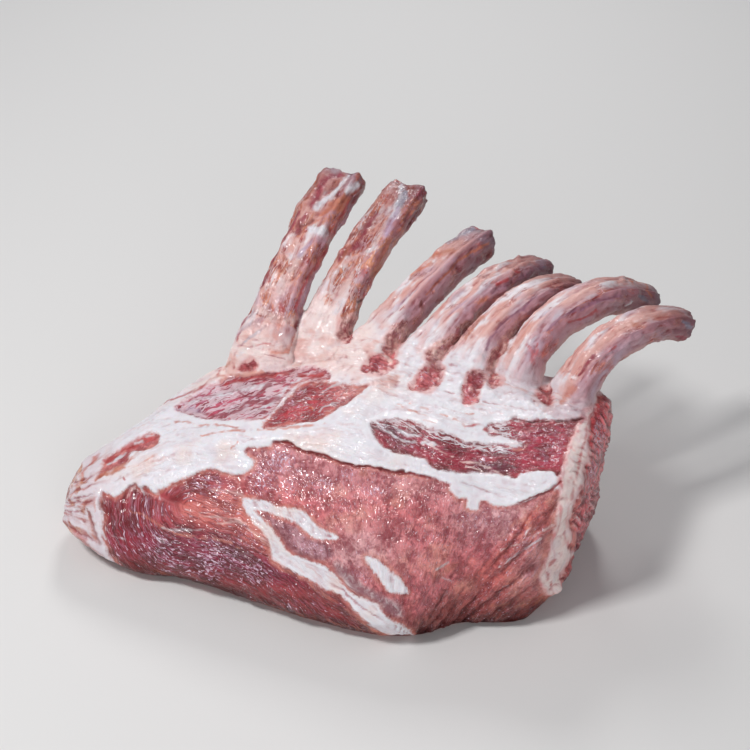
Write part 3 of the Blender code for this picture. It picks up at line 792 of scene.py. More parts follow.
def fat_field():
    """Millimetres into the fat, below 0 in the lean, on every side of the meat."""
    lean_edge = np.maximum.reduce([front_muscle, right_cap, left_cap, left_red, lean_patch - 0.8, end_face])
    ragged_strip = 0.8 * end_strip + 1.8 * octaves(STREAKS, mm * (0.16, 0.16, 0.09), 2)
    seen_fat = np.maximum.reduce([-lean_edge, streak_low, streak_high, white_patch, ragged_strip])
    wrinkles = 0.6 + 4.0 * octaves(STREAKS, mm * (0.10, 0.10, 0.24) + 7, 3)
    seen_fat += (np.minimum(wrinkles, seen_fat) - seen_fat) * (1 - smooth(X_PX, 82, 106))
    # Hidden: cut faces with a rim of fat, and the inner side with a white strip along each bone.
    inner = smooth(out[:, 1], 0.25, 0.7)
    strip = np.zeros(len(points))
    waver = 4.5 * octaves(LUMPS, mm / 24 + 13, 3)
    for x, y, *_ in RIBS:
        place = mm[:, 0] - x - SHIFT[0] + (mm[:, 1] - y - SHIFT[1]) * 0.25 + waver
        strip = np.maximum(strip, 1 - smooth(np.abs(place) - 0.04 * height, -1, 9))
    hidden = 6 - smooth(96 - height, 6, 26) * 9 + 3.0 * octaves(LUMPS, mm / 14)
    ribbed = strip * 4.4 * smooth(height, -90, 70) + 3.0 * octaves(STREAKS, mm * (0.05, 0.05, 0.03) + 9, 3)
    hidden += inner * ribbed
    hidden += inner * 2.2 * octaves(GRAINS, mm * (0.16, 0.16, 0.07) + 33, 3)
    hidden += 2.5 * octaves(STREAKS, mm * (0.04, 0.04, 0.12))
    return seen_fat * shown + hidden * (1 - shown)


# Bones: mostly bone and its skin, with red shreds where the meat was pulled off.
HALF_WIDTH, HALF_HEIGHT, BONE_APART = 11, 7, 31
along_bone = share * np.array([row[4] for row in RIBS])[owner]
bone_place = np.stack([along_bone, side * HALF_WIDTH, top * HALF_HEIGHT], axis=1)
bone_place += BONE_APART * owner[:, None]
redness = np.array(REDNESS)[owner]
islands = octaves(STREAKS, bone_place * (0.075, 0.12, 0.12), 4)
bone_fat = 3.2 - 4.2 * redness + 5.5 * islands + 1.0 * smooth(share, 0.82, 1.0)
bone_fat -= 2.0 * smooth(np.abs(side), 0.62, 0.95) * redness
foot_end = np.array(FOOT_END)[owner]
bone_fat = np.clip(bone_fat + 3.0 * (1 - smooth(share, foot_end - 0.24, foot_end + 0.03)), -4, 4)

fat = fat_field()
fat = fat * meat_part + bone_fat * bone_mix
torn_fat = 0.3 - 0.8 * torn + 3.4 * octaves(GRAINS, mm / 5.0, 3)
fat = np.where(torn > -2.5, np.minimum(fat, torn_fat), fat)
fat = 0.6 * fat + 0.4 * spread(fat)
halo = np.where((front_muscle > -4) | (left_red > -4) | (lean_patch > -4), 0.75, 0.15)


# The fibres of the broad part fan out from a point below it, the threads of the narrow end from its tip.
FAN_CENTRE, FAN_RADIUS, FLECK_SPEED = np.array((385, 700)), 110.0, 1.1
NOSE_TIP, TIP_RADIUS = np.array((38, 506)), 28.0
RUN_APART, FAN_APART = 90.0, 500.0


def fibre_places():
    """Millimetres along and across the fibres, and a number that keeps the regions apart."""
    places = np.stack([height, mm[:, 0], mm[:, 1]], axis=1)
    free = (shown > 0) & ~on_rib & (end_face < 0)
    front = front_muscle > -2
    regions = (
        (FIBRES_FAT, 1.0, free),
        (FIBRES_FRONT, 0.8, free & front & (upper < 0) & (facet < 0)),
        (FIBRES_RIGHT, 1.2, free & (right_cap > -3)),
        (FIBRES_LEFT, 1.0, free & (np.maximum(left_cap, left_red) > -3)),
    )
    for number, (guide, speed, chosen) in enumerate(regions):
        where = np.flatnonzero(chosen)
        gap, turn, along = nearest(rounded(guide, closed=False), px[where])
        places[where] = np.stack([along * speed, gap, 0.5 * gap * turn + RUN_APART * number], axis=1)
    fan = np.flatnonzero(free & front & ((upper >= 0) | (facet >= 0)))
    arm = (px[fan] - FAN_CENTRE) * PX_MM
    radius = np.hypot(arm[:, 0], arm[:, 1])
    around = np.arctan2(arm[:, 0], -arm[:, 1]) * FAN_RADIUS
    places[fan] = np.stack([radius * FLECK_SPEED, around, np.full(len(fan), FAN_APART)], axis=1)
    tip = np.flatnonzero(free & ~front & (X_PX < 112) & (Y_PX > 440))
    arm = (px[tip] - NOSE_TIP) * PX_MM
    radius = np.hypot(arm[:, 0], arm[:, 1])
    around = np.arctan2(arm[:, 1], arm[:, 0]) * TIP_RADIUS
    places[tip] = np.stack([radius, around, height[tip] * 0.1], axis=1)
    bones = np.flatnonzero(bone_mix > 0.5)
    places[bones] = bone_place[bones] + 60 * owner[bones, None]
    return places


grain = fibre_places()

# Where two runs of fibres meet, their relief fades.
seam = smooth(np.linalg.norm(spread(grain) - grain, axis=1), 0.8, 2.5)
for _ in range(3):
    seam = np.maximum(seam, 1.6 * spread(seam))
seam = blurred(np.clip(seam, 0, 1), 3)
whole = 1 - seam

# Pleats of the cut end: ridges that fall to the back, each a bit different.
PLEAT_GAP, PLEAT_FALL = 7.5, 1.3
turns = (height + PLEAT_FALL * mm[:, 1]) / PLEAT_GAP + 2.2 * octaves(LUMPS, mm / 20 + 91, 3)
patchy = smooth(octaves(LUMPS, mm / 11 + 47, 2), -0.4, 0.4)
pleat = np.sin(2 * np.pi * turns) * smooth(end_face, -1.0, 2.5) * patchy

# ---------------------------------------------------------------- paint
in_front = smooth(front_muscle, -4, -1)
broad = smooth(upper, -5, 4) * in_front
on_facet = smooth(facet, -2, 3) * in_front
on_cap, on_left_cap, on_red = smooth(right_cap, -3, 1), smooth(left_cap, -2, 1), smooth(left_red, -2, 2)
on_strip, on_end, on_torn = smooth(end_strip, -3, 0), smooth(end_face, -3, 1), smooth(torn, -3.0, 0)
white_torn = smooth(torn, -2.5, 0)
# Painted shade: the front muscle is darker on its underside and near the floor, where shade falls.
painted_under_shade = in_front * np.maximum(smooth(-out[:, 2], -0.05, 0.55), 0.85 * (1 - smooth(height, 3, 26)))


def painted(base, *layers):
    """A colour for every point: the base, then each layer's colour by its amount."""
    colour = np.tile(rgb(*base), (len(points), 1))
    for shade, amount in layers:
        colour = lay(colour, rgb(*shade), amount)
    return colour


def lean_colour():
    """Each muscle in its own red, then the cut end, the hidden sides, the bones and the torn places."""
    mottle = octaves(LUMPS, mm / 13 + 3, 3)
    above = smooth(532 - Y_PX + (X_PX - 150) * 0.08, -8, 18)
    below = smooth(Y_PX - (X_PX - 150) * 0.16, 552, 572)
    below_fat = smooth(492 - Y_PX + (X_PX - 250) * 0.12, 0, 30)
    paler = np.maximum(bell(X_PX, 357, 40) * bell(Y_PX, 552, 26), bell(X_PX, 497, 45) * bell(Y_PX, 520, 22))
    facet_side = smooth(X_PX, 500, 540) * smooth(Y_PX, 525, 550) * (1 - smooth(Y_PX, 570, 600))
    purple = smooth(octaves(STREAKS, grain * (0.03, 0.14, 0.14) + 57, 2), 0.0, 0.35)
    shreds = smooth(octaves(LUMPS, bone_place / 7, 2), -0.1, 0.4)
    torn_on_bone = on_torn * smooth(share, -0.02, 0.06) * by_bone
    torn_deep = smooth(torn, -0.5, 2) * smooth(octaves(GRAINS, mm / 5, 2), 0.0, 0.4)
    torn_light = smooth(torn, -2, 0) * smooth(octaves(GRAINS, mm / 4 + 31, 2), 0.1, 0.4)
    return painted(
        (176, 88, 94),
        ((124, 14, 42), in_front),
        ((170, 58, 66), in_front * above),
        ((142, 24, 40), in_front * (1 - smooth(X_PX, 130, 170)) * 0.7),
        ((160, 50, 46), in_front * below * 0.6),
        ((204, 98, 92), smooth(flank, -6, 5) * 0.85),
        ((206, 96, 102), broad),
        ((222, 132, 120), broad * smooth(mottle, 0.0, 0.45) * 0.55),
        ((190, 74, 84), broad * smooth(-mottle, 0.05, 0.45) * 0.55),
        ((214, 142, 150), broad * below_fat * 0.5),
        ((222, 162, 168), broad * paler * 0.65),
        ((192, 82, 80), on_facet),
        ((216, 130, 118), on_facet * smooth(mottle, 0.0, 0.45) * 0.7),
        ((150, 56, 52), on_facet * smooth(Y_PX, 560, 620) * 0.75),
        ((208, 124, 128), on_facet * facet_side * 0.6),
        ((172, 114, 126), smooth(wedge, -1, 2) * 0.8),
        ((200, 168, 174), smooth(brown, -2, 3) * 0.85),
        ((146, 22, 44), on_cap),
        ((112, 26, 56), on_cap * purple * 0.8),
        ((164, 32, 54), on_cap * smooth(X_PX, 500, 540)),
        ((180, 66, 88), smooth(left_cap, -3, 1)),
        ((180, 44, 54), on_red),
        ((208, 112, 114), on_red * smooth(X_PX, 315, 350)),
        ((236, 168, 156), on_red * smooth(X_PX, 350, 385)),
        ((212, 116, 120), smooth(lean_patch, -3, 1)),
        ((222, 92, 98), on_end),
        ((208, 70, 78), on_end * smooth(Y_PX, 470, 520) * 0.7),
        # Painted shade in the valleys of the pleats, painted highlight on their ridges.
        ((176, 52, 68), smooth(-pleat, 0.1, 0.8) * 0.7),
        ((236, 176, 178), smooth(pleat, 0.4, 0.95) * 0.6),
        ((204, 138, 112), (1 - smooth(X_PX, 82, 106)) * shown),
        ((178, 96, 100), 1 - shown),
        ((208, 122, 98), bone_mix),
        ((206, 126, 122), bone_mix * (owner > 1) * 0.7),
        ((188, 74, 70), bone_mix * shreds),
        ((206, 96, 102), on_torn),
        ((206, 146, 142), torn_on_bone),
        ((176, 62, 72), torn_deep * 0.8),
        ((232, 172, 168), torn_light),
    )


def bone_colour():
    """Pale bone with bluish skin; the right sides mauve and darker, partly own colour, partly painted shade.
    """
    pale = smooth(octaves(LUMPS, bone_place * (0.06, 0.14, 0.14) + 9), -0.05, 0.3)
    bluish = smooth(octaves(LUMPS, bone_place * (0.05, 0.09, 0.09) + 29), 0.1, 0.5)
    return painted(
        (224, 170, 162),
        ((236, 226, 230), pale),
        # The right sides are darker mauve: partly the bone's own mauve, partly painted shade.
        ((180, 128, 142), smooth(side, 0.25, 0.8) * 0.85),
        ((192, 172, 192), bluish * 0.5),
        ((160, 146, 164), smooth(share, 0.93, 1.0) * smooth(top, -0.9, -0.2) * 0.6),
        ((212, 172, 164), smooth(-top, 0.1, 0.8) * 0.6),
    )


def fat_colour():
    """White fat, with threads at the narrow end, a red rim in the right strip and pink feet of bones."""
    threads = smooth(octaves(STREAKS, grain * (0.03, 0.30, 0.30) + 71, 3), 0.02, 0.32)
    warm = smooth(octaves(LUMPS, mm / 22 + 5), -0.05, 0.4)
    rim = (1 - smooth(end_strip, 0.3, 2.6)) * 0.55
    rim += 0.6 * smooth(octaves(STREAKS, mm * (0.3, 0.3, 0.06) + 5, 2), 0.1, 0.4)
    by_feet = smooth(390 - Y_PX, 0, 22) * (1 - smooth(X_PX, 350, 420)) * shown
    shade = smooth(octaves(LUMPS, mm / 7 + 29, 2), 0.05, 0.45)
    blush = smooth(octaves(LUMPS, mm / 10 + 63, 3), 0.0, 0.4) * smooth(foot_zone, 0.0, 0.3) * shown
    pink_feet = smooth(octaves(STREAKS, bone_place * (0.05, 0.2, 0.2) + 3, 2), -0.3, 0.3)
    pink_feet = pink_feet * smooth(share, -0.02, 0.12) * (owner > 2) * by_bone
    return painted(
        (234, 230, 236),
        ((220, 206, 212), (1 - smooth(X_PX, 84, 130)) * shown),
        ((180, 100, 94), (1 - smooth(X_PX, 84, 118)) * shown * threads * 0.85),
        ((236, 214, 208), 0.7 * warm * (1 - smooth(X_PX, 330, 460))),
        ((246, 224, 220), on_strip),
        ((220, 138, 140), on_strip * rim),
        ((244, 216, 210), by_feet * 0.75),
        ((216, 198, 206), shade * 0.4 * shown),
        ((226, 170, 160), blush * (1 - smooth(X_PX, 380, 460)) * 0.6),
        ((222, 182, 176), (1 - shown) * 0.8),
        ((230, 172, 168), white_torn * 0.7),
        ((232, 202, 212), on_left_cap * 0.7),
        ((228, 182, 180), 0.7 * pink_feet),
    )


# Painted shade: the bones are darker towards their far ends, away from the light, and the outer bones more
# so.
painted_tip_shade = smooth(share, 0.5, 1.0) * by_bone * np.where(owner > 2, 1.18, 1.0)
tip_shade = 1 - painted_tip_shade[:, None] * (0.42, 0.56, 0.55)
lean = lean_colour() * (1 - 0.7 * painted_under_shade)[:, None] * tip_shade
bone = bone_colour() * tip_shade
white = lay(fat_colour(), bone, smooth(share, foot_end - 0.22, foot_end) * by_bone)


def veil_field():
    """How thickly white threads lie over the lean."""
    cap_top = smooth(right_cap, 8, 1) * smooth(-(Y_PX - 434 - (X_PX - 400) * 0.24), -2, 5)
    seen = np.maximum.reduce([
        np.full(len(points), 0.08),
        0.60 * smooth(left_cap, -1, 1) * (1 - smooth(left_red, -4, 3)),
        0.16 * smooth(left_red, -2, 3),
        0.05 * smooth(right_cap, -2, 2),
        0.62 * cap_top * (1 - smooth(X_PX, 500, 530)) * smooth(right_cap, -1, 1),
        0.46 * bone_mix,
    ])
    seen = np.where(torn > -1.0, 0.06, seen)
    return np.maximum.reduce([seen, 0.12 * smooth(end_face, -2, 2), 0.16 * (1 - shown) * (1 - on_rib)])


def painted_glint_field():
    """How many painted highlights, bright flecks and glints, the wet lean has."""
    painted_glint_amount = np.where(right_cap > 0, 0.10, 0.20)
    for x, y, half_width, half_height, strength in GLINTS:
        gap = np.hypot((X_PX - x) / half_width, (Y_PX - y) / half_height)
        painted_glint_amount = np.maximum(painted_glint_amount, strength * (1 - smooth(gap, 0.5, 1.6)) * shown)
    hidden = 0.05 + 0.35 * smooth(octaves(LUMPS, mm / 18 + 50, 2), 0.1, 0.5)
    painted_glint_amount = np.where(shown > 0.5, painted_glint_amount, hidden)
    painted_glint_amount = np.where((torn > -1.0) | ((bone_mix > 0.5) & (torn < -1)), 0.3, painted_glint_amount)
    return painted_glint_amount * (1 - 0.7 * painted_under_shade)


def streak_field():
    """How streaky the lean is: most in the narrow muscle and the caps, least in the broad muscle."""
    streak = 0.35 + 0.55 * in_front * (1 - broad) * (1 - on_facet) - 0.22 * broad
    streak += 0.35 * np.maximum(on_cap, on_left_cap)
    return np.where(bone_mix > 0.5, 0.35, np.clip(streak, 0, 1))


veil, painted_glint_amount, streak = veil_field(), painted_glint_field(), streak_field()


def brush(strokes, allowed, hold, colour, amount, lift):
    """Lays strokes on the allowed points, the later over the earlier; more hold leaves fewer gaps."""
    for name, half_width, strength, line in strokes:
        shade, stand = COLOURS[name]
        path = rounded(line, closed=False)
        chosen = close_to(path)
        chosen = chosen[allowed[chosen]]
        gap, _, along = nearest(path, px[chosen])
        taper = 0.45 + 0.55 * np.sin(np.pi * np.clip(along / max(along.max(), 1e-6), 0, 1))
        width = half_width * PX_MM * taper
        here = strength * (1 - smooth(gap, width * 0.1, width * 1.5 + 0.7))
        here *= smooth(facing[chosen], 0.0, 0.15) * smooth(breaks[chosen], -0.6 - hold, 0.1 - hold)
        colour[chosen] = lay(colour[chosen], rgb(*shade), here)
        amount[chosen] = amount[chosen] * (1 - here) + here
        lift[chosen] += stand * here


breaks = octaves(GRAINS, mm / 5.0 + 19, 2)
# Strokes: the tissue's own colours, and painted shadows in gaps and creases and a few painted highlights.
stain_and_shadow_colour = np.zeros((len(points), 3))
stain_and_shadow, stroke_lift = np.zeros(len(points)), np.zeros(len(points))
brush(MEAT_STROKES, share < 0.16, 0.0, stain_and_shadow_colour, stain_and_shadow, stroke_lift)
for number, strokes in BONE_STROKES.items():
    on_this = (owner == number - 1) & by_bone & (share > 0.0)
    brush(strokes, on_this, 0.7, stain_and_shadow_colour, stain_and_shadow, stroke_lift)
stain_and_shadow_colour /= np.maximum(stain_and_shadow, 1e-6)[:, None]

# The colour of the strokes runs on a little past their edges, so that a thin edge keeps it.
for _ in range(4):
    weight = (stain_and_shadow + 1e-6)[:, None]
    around = spread(stain_and_shadow_colour * weight) / spread(weight)
    stain_and_shadow_colour = np.where((stain_and_shadow > 0.03)[:, None], stain_and_shadow_colour, around)
    stain_and_shadow = np.where(stain_and_shadow > 0.03, stain_and_shadow, np.minimum(spread(stain_and_shadow), 0.03))

# ---------------------------------------------------------------- relief
fat_cover = smooth(fat, -0.6, 0.9)


def fibrous(along, across, offset=0):
    """Fine ridges along the fibres, with so many to a millimetre along and across."""
    return octaves(STREAKS, grain * (along, across, across) + offset, 2) * whole


def folded(noise, along, across, offset):
    """Round backs and sharp valleys along the fibres."""
    return (folds(noise, grain * (along, across, across) + offset) - 0.5) * whole


def meat_relief():
    """Lumps and fibres; fat stands up in folds, the cut end is pleated and torn places are shaggy."""
    lift = 0.7 * octaves(LUMPS, mm / 16)
    lift += 0.9 * smooth(fat, -0.8, 1.2) * shown
    lift -= 1.3 * smooth(np.maximum(streak_low, streak_high), -1.5, 2.5)
    lift += (0.6 - 0.42 * fat_cover) * fibrous(0.11, 0.42)
    lift += 1.6 * smooth(facet, -1, 3) * in_front * folded(STREAKS, 0.02, 0.10, 7)
    lift += 0.7 * broad * fibrous(0.03, 0.12, 27)
    lift += 0.75 * fat_cover * shown * folded(LUMPS, 0.025, 0.13, 61)
    lift += 1.2 * smooth(foot_zone, 0.0, 0.4) * octaves(LUMPS, mm / 8 + 77, 3)
    lift += 1.1 * (1 - smooth(X_PX, 88, 118)) * shown * folded(STREAKS, 0.035, 0.20, 17)
    lift += 0.7 * smooth(right_cap, 0, 4) * fibrous(0.06, 0.2, 5)
    lift += 1.05 * pleat * smooth(height, 3, 20)
    lift += 1.2 * octaves(GRAINS, mm * (0.12, 0.12, 0.16) + 3, 2) * smooth(end_face, -1.5, 3)
    lift += smooth(torn, -1.5, 1.5) * (1.7 * octaves(GRAINS, mm / 5.5 + 8, 3) - 0.7)
    return lift


def crease_field():
    """The crease below the fat sheet, darkened with painted shade, and the raised lips beside it."""
    gap = np.full(len(points), 99.0)
    for line in (CREASE, NOTCH):
        path = rounded(line, closed=False)
        chosen = close_to(path)
        gap[chosen] = np.minimum(gap[chosen], nearest(path, px[chosen])[0])
    return 1 - smooth(gap, 0.1, 1.0), (1 - smooth(gap, 1.2, 5)) * (fat > 0.5)


def bone_relief():
    """Ridge, groove, shreds and rough edges."""
    faces = np.array(BONE_FACES)[owner]
    outer = smooth(top, 0.1, 0.6) * smooth(share, 0.1, 0.3)
    waver = 0.15 * octaves(LUMPS, bone_place * (0.04, 0.0, 0.0) + 3, 2)
    lift = faces[:, 1] * outer * bell(side + waver, faces[:, 0], 0.16)
    lift -= faces[:, 3] * outer * bell(side + waver, faces[:, 2], 0.32)
    lift += 0.7 * octaves(LUMPS, bone_place * (0.07, 0.13, 0.13) + 3, 3)
    lift += 0.6 * octaves(STREAKS, bone_place * (0.12, 0.36, 0.36) + 13, 2)
    lift += 0.5 * (folds(LUMPS, bone_place * (0.05, 0.15, 0.15) + 33) - 0.5)
    lift -= 0.4 * smooth(-fat, 0, 2)
    edge = smooth(np.abs(side), 0.6, 0.95)
    lift += np.where(owner < 2, 0.7, 1.2) * edge * octaves(GRAINS, bone_place / 8.5 + 4, 3)
    lift += 0.9 * smooth(share, 0.9, 1.0) * octaves(GRAINS, mm / 5 + 14, 2)
    return lift


def knob_relief():
    """Single lumps and dents on the side that shows."""
    lift = np.zeros(len(points))
    for x, y, radius, stand in KNOBS:
        gap = np.hypot(X_PX - x, Y_PX - y) / radius
        lift += stand * (1 - smooth(gap, 0.1, 1.2)) * (shown > 0)
    return lift


crease_and_shade, lips = crease_field()
lift = meat_relief() * meat_part + bone_relief() * bone_mix
lift += -0.6 * crease_and_shade + 0.5 * lips
lift += 0.24 * octaves(GRAINS, mm / 3.2, 2) + knob_relief() + spread(stroke_lift)
lift *= smooth(height, 0.3, 3.0)

# Painted shade in the hollows of the relief, painted highlight on its ridges.
painted_cavity_shade = np.clip((blurred(lift, 7) - lift) / 0.5, -1, 1) * (1 - 0.45 * white_torn)
moved = points + out * (lift * MM)[:, None]
moved[:, 2] = np.maximum(moved[:, 2], 0.0)
moved = relax(moved, 1, 0.4)
final_out = normals(moved)


# ---------------------------------------------------------------- materials
class Tree:
    """Short way to build a node tree."""

    def __init__(self, name):
        self.material = bpy.data.materials.new(name)
        self.material.use_nodes = True
        self.tree = self.material.node_tree
        self.shader = self.tree.nodes["Principled BSDF"]

    def node(self, kind, inputs=(), **settings):
        made = self.tree.nodes.new(kind)
        for key, value in settings.items():
            setattr(made, key, value)
        for key, value in dict(inputs).items():
            self.put(made.inputs[key], value)
        return made

    def put(self, socket, value):
        if isinstance(value, bpy.types.NodeSocket):
            self.tree.links.new(value, socket)
        else:
            socket.default_value = value

    def math(self, operation, a, b=0.0, c=0.0):
        return self.node("ShaderNodeMath", {0: a, 1: b, 2: c}, operation=operation).outputs[0]

    def ramp(self, value, low, high, start=0.0, end=1.0):
        """Smooth step of value from start at low to end at high."""
        inputs = {0: value, 1: low, 2: high, 3: start, 4: end}
        return self.node("ShaderNodeMapRange", inputs, interpolation_type="SMOOTHSTEP").outputs[0]

    def mix(self, amount, a, b, blend="MIX"):
        made = self.node("ShaderNodeMix", data_type="RGBA", blend_type=blend)
        self.put(made.inputs[0], amount)
        self.put(made.inputs[6], a)
        self.put(made.inputs[7], b)
        return made.outputs[2]

    def scaled(self, vector, amount):
        return self.node("ShaderNodeVectorMath", {0: vector, 3: amount}, operation="SCALE").outputs[0]

    def noise(self, vector, scale, detail=2.0, rough=0.5, warp=0.0):
        """Noise, 0 to 1, with so many features to a millimetre along each axis."""
        stretched = self.node("ShaderNodeVectorMath", {0: vector, 1: scale}, operation="MULTIPLY").outputs[0]
        inputs = {"Vector": stretched, "Scale": 1.0, "Detail": detail, "Roughness": rough, "Distortion": warp}
        return self.node("ShaderNodeTexNoise", inputs).outputs[0]

    def attribute(self, name, output="Fac"):
        return self.node("ShaderNodeAttribute", attribute_name=name).outputs[output]

    def bump(self, height, strength, distance):
        inputs = {"Strength": strength, "Distance": distance, "Height": height}
        return self.node("ShaderNodeBump", inputs).outputs[0]

    def times(self, a, b):
        return self.math("MULTIPLY", a, b)

    def less(self, a, b):
        return self.math("SUBTRACT", a, b)

    def fit(self, a, factor, more):
        """a times factor, plus more."""
        return self.math("MULTIPLY_ADD", a, factor, more)

    def swing(self, a, factor, more):
        """What a has over a half, times factor, plus more."""
        return self.fit(self.less(a, 0.5), factor, more)


def colour4(red, green, blue):
    return (*rgb(red, green, blue), 1.0)


def noises(t):
    """Coordinates and noises that the lean, the fat and the relief share."""
    t.place = t.scaled(t.node("ShaderNodeTexCoord").outputs["Object"], 1000.0)
    t.along = t.attribute("grain", "Vector")
    t.whole = t.less(1.0, t.attribute("seam"))
    t.even = t.less(1.0, t.attribute("streak"))
    t.fibres = t.swing(t.noise(t.along, (0.12, 0.95, 0.95), 3.0, 0.6), t.whole, 0.5)
    t.flecks = t.times(t.noise(t.along, (0.34, 1.05, 1.05), 2.0, 0.6), t.whole)
    t.sparks = t.times(t.noise(t.along, (0.50, 1.05, 1.05), 1.5, 0.5), t.whole)
    t.soft = t.swing(t.noise(t.along, (0.05, 0.4, 0.4), 4.0, 0.65), t.whole, 0.5)
    t.blotches = t.noise(t.place, (0.10, 0.10, 0.10), 2.0, 0.45)
    t.grains = t.noise(t.place, (0.7, 0.7, 0.7), 2.0, 0.6)
    t.crumbs = t.noise(t.place, (0.32, 0.32, 0.32), 3.0, 0.65, 0.6)
    t.clusters = t.noise(t.place, (0.045, 0.045, 0.045), 2.0, 0.5)


def lean_nodes(t):
    """Darker and lighter along the fibres; painted highlights as bright flecks; a salmon rim beside the fat.
    """
    bundles = t.swing(t.noise(t.along, (0.05, 0.24, 0.24), 2.0, 0.5), t.whole, 0.5)
    lines = t.fit(t.fibres, 1.5, t.times(bundles, 0.9))
    fine = t.times(t.less(lines, 1.2), t.attribute("streak"))
    fine = t.fit(t.times(t.less(t.crumbs, 0.5), t.even), 1.3, fine)
    t.depth = t.fit(t.blotches, 0.9, t.math("ADD", fine, 0.4))
    base = t.attribute("lean", "Color")
    deep = t.mix(1.0, base, (0.52, 0.30, 0.34, 1), "MULTIPLY")
    bright = t.mix(1.0, base, (1.30, 1.75, 1.65, 1), "MULTIPLY")
    toned = t.mix(t.ramp(t.depth, 0.62, 1.11), deep, bright)
    # Painted highlights: bright flecks and glints of the wet lean.
    dense = t.times(t.attribute("painted_glint_amount"), t.ramp(t.clusters, 0.38, 0.58, 0.35, 1.0))
    painted_sheen = t.times(t.ramp(t.flecks, 0.48, 0.66), dense)
    toned = t.mix(t.times(painted_sheen, 0.75), toned, colour4(208, 152, 182))
    painted_glint = t.ramp(t.fit(dense, 0.20, t.sparks), 0.70, 0.76, 0.0, 0.78)
    toned = t.mix(painted_glint, toned, colour4(234, 202, 222))
    rim = t.times(t.ramp(t.attribute("fat"), -3.2, -0.4), t.ramp(t.blotches, 0.35, 0.6, 0.3, 1.0))
    return t.mix(t.times(rim, t.attribute("halo")), toned, colour4(214, 132, 118))


def cover_nodes(t):
    """How much fat covers the lean: sheets with a ragged edge, and threads."""
    threads = t.noise(t.along, (0.08, 0.48, 0.48), 3.0, 0.6, 0.4)
    threads = t.fit(t.attribute("seam"), 0.5, threads)
    thread = t.fit(t.math("ABSOLUTE", t.less(threads, 0.5)), -12.0, 1.0)
    thread = t.ramp(t.less(thread, t.fit(t.attribute("veil"), -1.6, 1.0)), 0.0, 0.28)
    ragged = t.swing(t.grains, 2.2, t.attribute("fat"))
    ragged = t.swing(t.fibres, 2.6, ragged)
    return t.math("MAXIMUM", t.ramp(ragged, -1.0, 1.0), t.times(thread, 0.75))


def fat_nodes(t):
    """White with a faint pink grain."""
    return t.mix(t.ramp(t.soft, 0.50, 0.75, 0.0, 0.55), t.attribute("white", "Color"), (0.84, 0.56, 0.52, 1),
                 "MULTIPLY")


def stained_and_shaded(t, colour):
    """Strokes with torn edges, painted shadows among them, then painted shade in hollows and crease."""
    spot = t.ramp(t.swing(t.fibres, 0.9, t.attribute("stain_and_shadow")), 0.12, 0.95, 0.0, 0.92)
    shade = t.scaled(t.attribute("stain_and_shadow_colour", "Color"), t.ramp(t.depth, 0.72, 1.38, 0.80, 1.18))
    colour = t.mix(spot, colour, shade)
    painted_cavity_shade = t.attribute("painted_cavity_shade")
    # Painted shade in the hollows, then painted highlight on the ridges.
    colour = t.mix(t.ramp(painted_cavity_shade, 0.0, 1.0, 0.0, 1.0), colour, (0.62, 0.34, 0.36, 1), "MULTIPLY")
    colour = t.mix(t.ramp(painted_cavity_shade, 0.0, -1.0, 0.0, 0.35), colour, (1, 1, 1, 1), "SOFT_LIGHT")
    # Painted shade along the crease below the fat sheet.
    return t.mix(t.times(t.attribute("crease_and_shade"), 0.95), colour, colour4(140, 24, 26))


def relief_nodes(t, cover):
    """Fine relief of the lean and, where it is covered, of the fat."""
    lean_relief = t.fit(t.fibres, t.fit(t.attribute("streak"), 0.8, 0.2), t.sparks)
    lean_relief = t.fit(t.times(t.crumbs, t.even), 1.6, lean_relief)
    lean_relief = t.fit(t.flecks, 0.8, lean_relief)
    fat_relief = t.fit(t.grains, 0.6, t.times(t.soft, 1.3))
    relief = t.node("ShaderNodeMix", {0: cover, 2: lean_relief, 3: fat_relief}).outputs[0]
    return t.bump(t.fit(cover, 0.3, relief), 0.9, 0.0007)


def film_nodes(t):
    """The waves of the wet film."""
    film = t.times(t.less(t.noise(t.along, (0.30, 0.70, 0.70), 1.0, 0.5), 0.5), t.whole)
    film = t.math("ADD", film, t.noise(t.place, (0.20, 0.20, 0.20), 1.0, 0.5))
    return t.bump(film, 1.0, 0.0008)


def flesh(name):
    """Lean, fat and bone, told apart by the painted fields."""
    t = Tree(name)
    noises(t)
    toned = lean_nodes(t)
    cover = cover_nodes(t)
    # Coat and specular are weaker where the painted shade lies at the bottom.
    lit = t.less(1.0, t.attribute("painted_under_shade"))
    settings = {
        "Base Color": stained_and_shaded(t, t.mix(cover, toned, fat_nodes(t))),
        "Roughness": t.fit(cover, 0.08, t.ramp(t.clusters, 0.4, 0.62, 0.46, 0.30)),
        "Subsurface Weight": 0.12,
        "Subsurface Radius": (1.0, 0.35, 0.25),
        "Subsurface Scale": 0.003,
        "Specular IOR Level": t.fit(lit, 0.4, 0.1),
        "Normal": relief_nodes(t, cover),
        "Coat Weight": t.times(t.fit(cover, -0.35, 0.65), lit),
        "Coat Roughness": 0.09,
        "Coat Normal": film_nodes(t),
    }
    for key, value in settings.items():
        t.put(t.shader.inputs[key], value)
    return t.material


# ---------------------------------------------------------------- pieces
PAINTED = (
    ("lean", "FLOAT_COLOR", lean), ("white", "FLOAT_COLOR", white),
    ("stain_and_shadow_colour", "FLOAT_COLOR", stain_and_shadow_colour), ("stain_and_shadow", "FLOAT", stain_and_shadow),
    ("fat", "FLOAT", fat), ("veil", "FLOAT", veil), ("painted_glint_amount", "FLOAT", painted_glint_amount), ("halo", "FLOAT", halo),
    ("streak", "FLOAT", streak), ("seam", "FLOAT", seam), ("crease_and_shade", "FLOAT", crease_and_shade),
    ("painted_cavity_shade", "FLOAT", painted_cavity_shade), ("painted_under_shade", "FLOAT", painted_under_shade), ("grain", "FLOAT_VECTOR", grain),
)


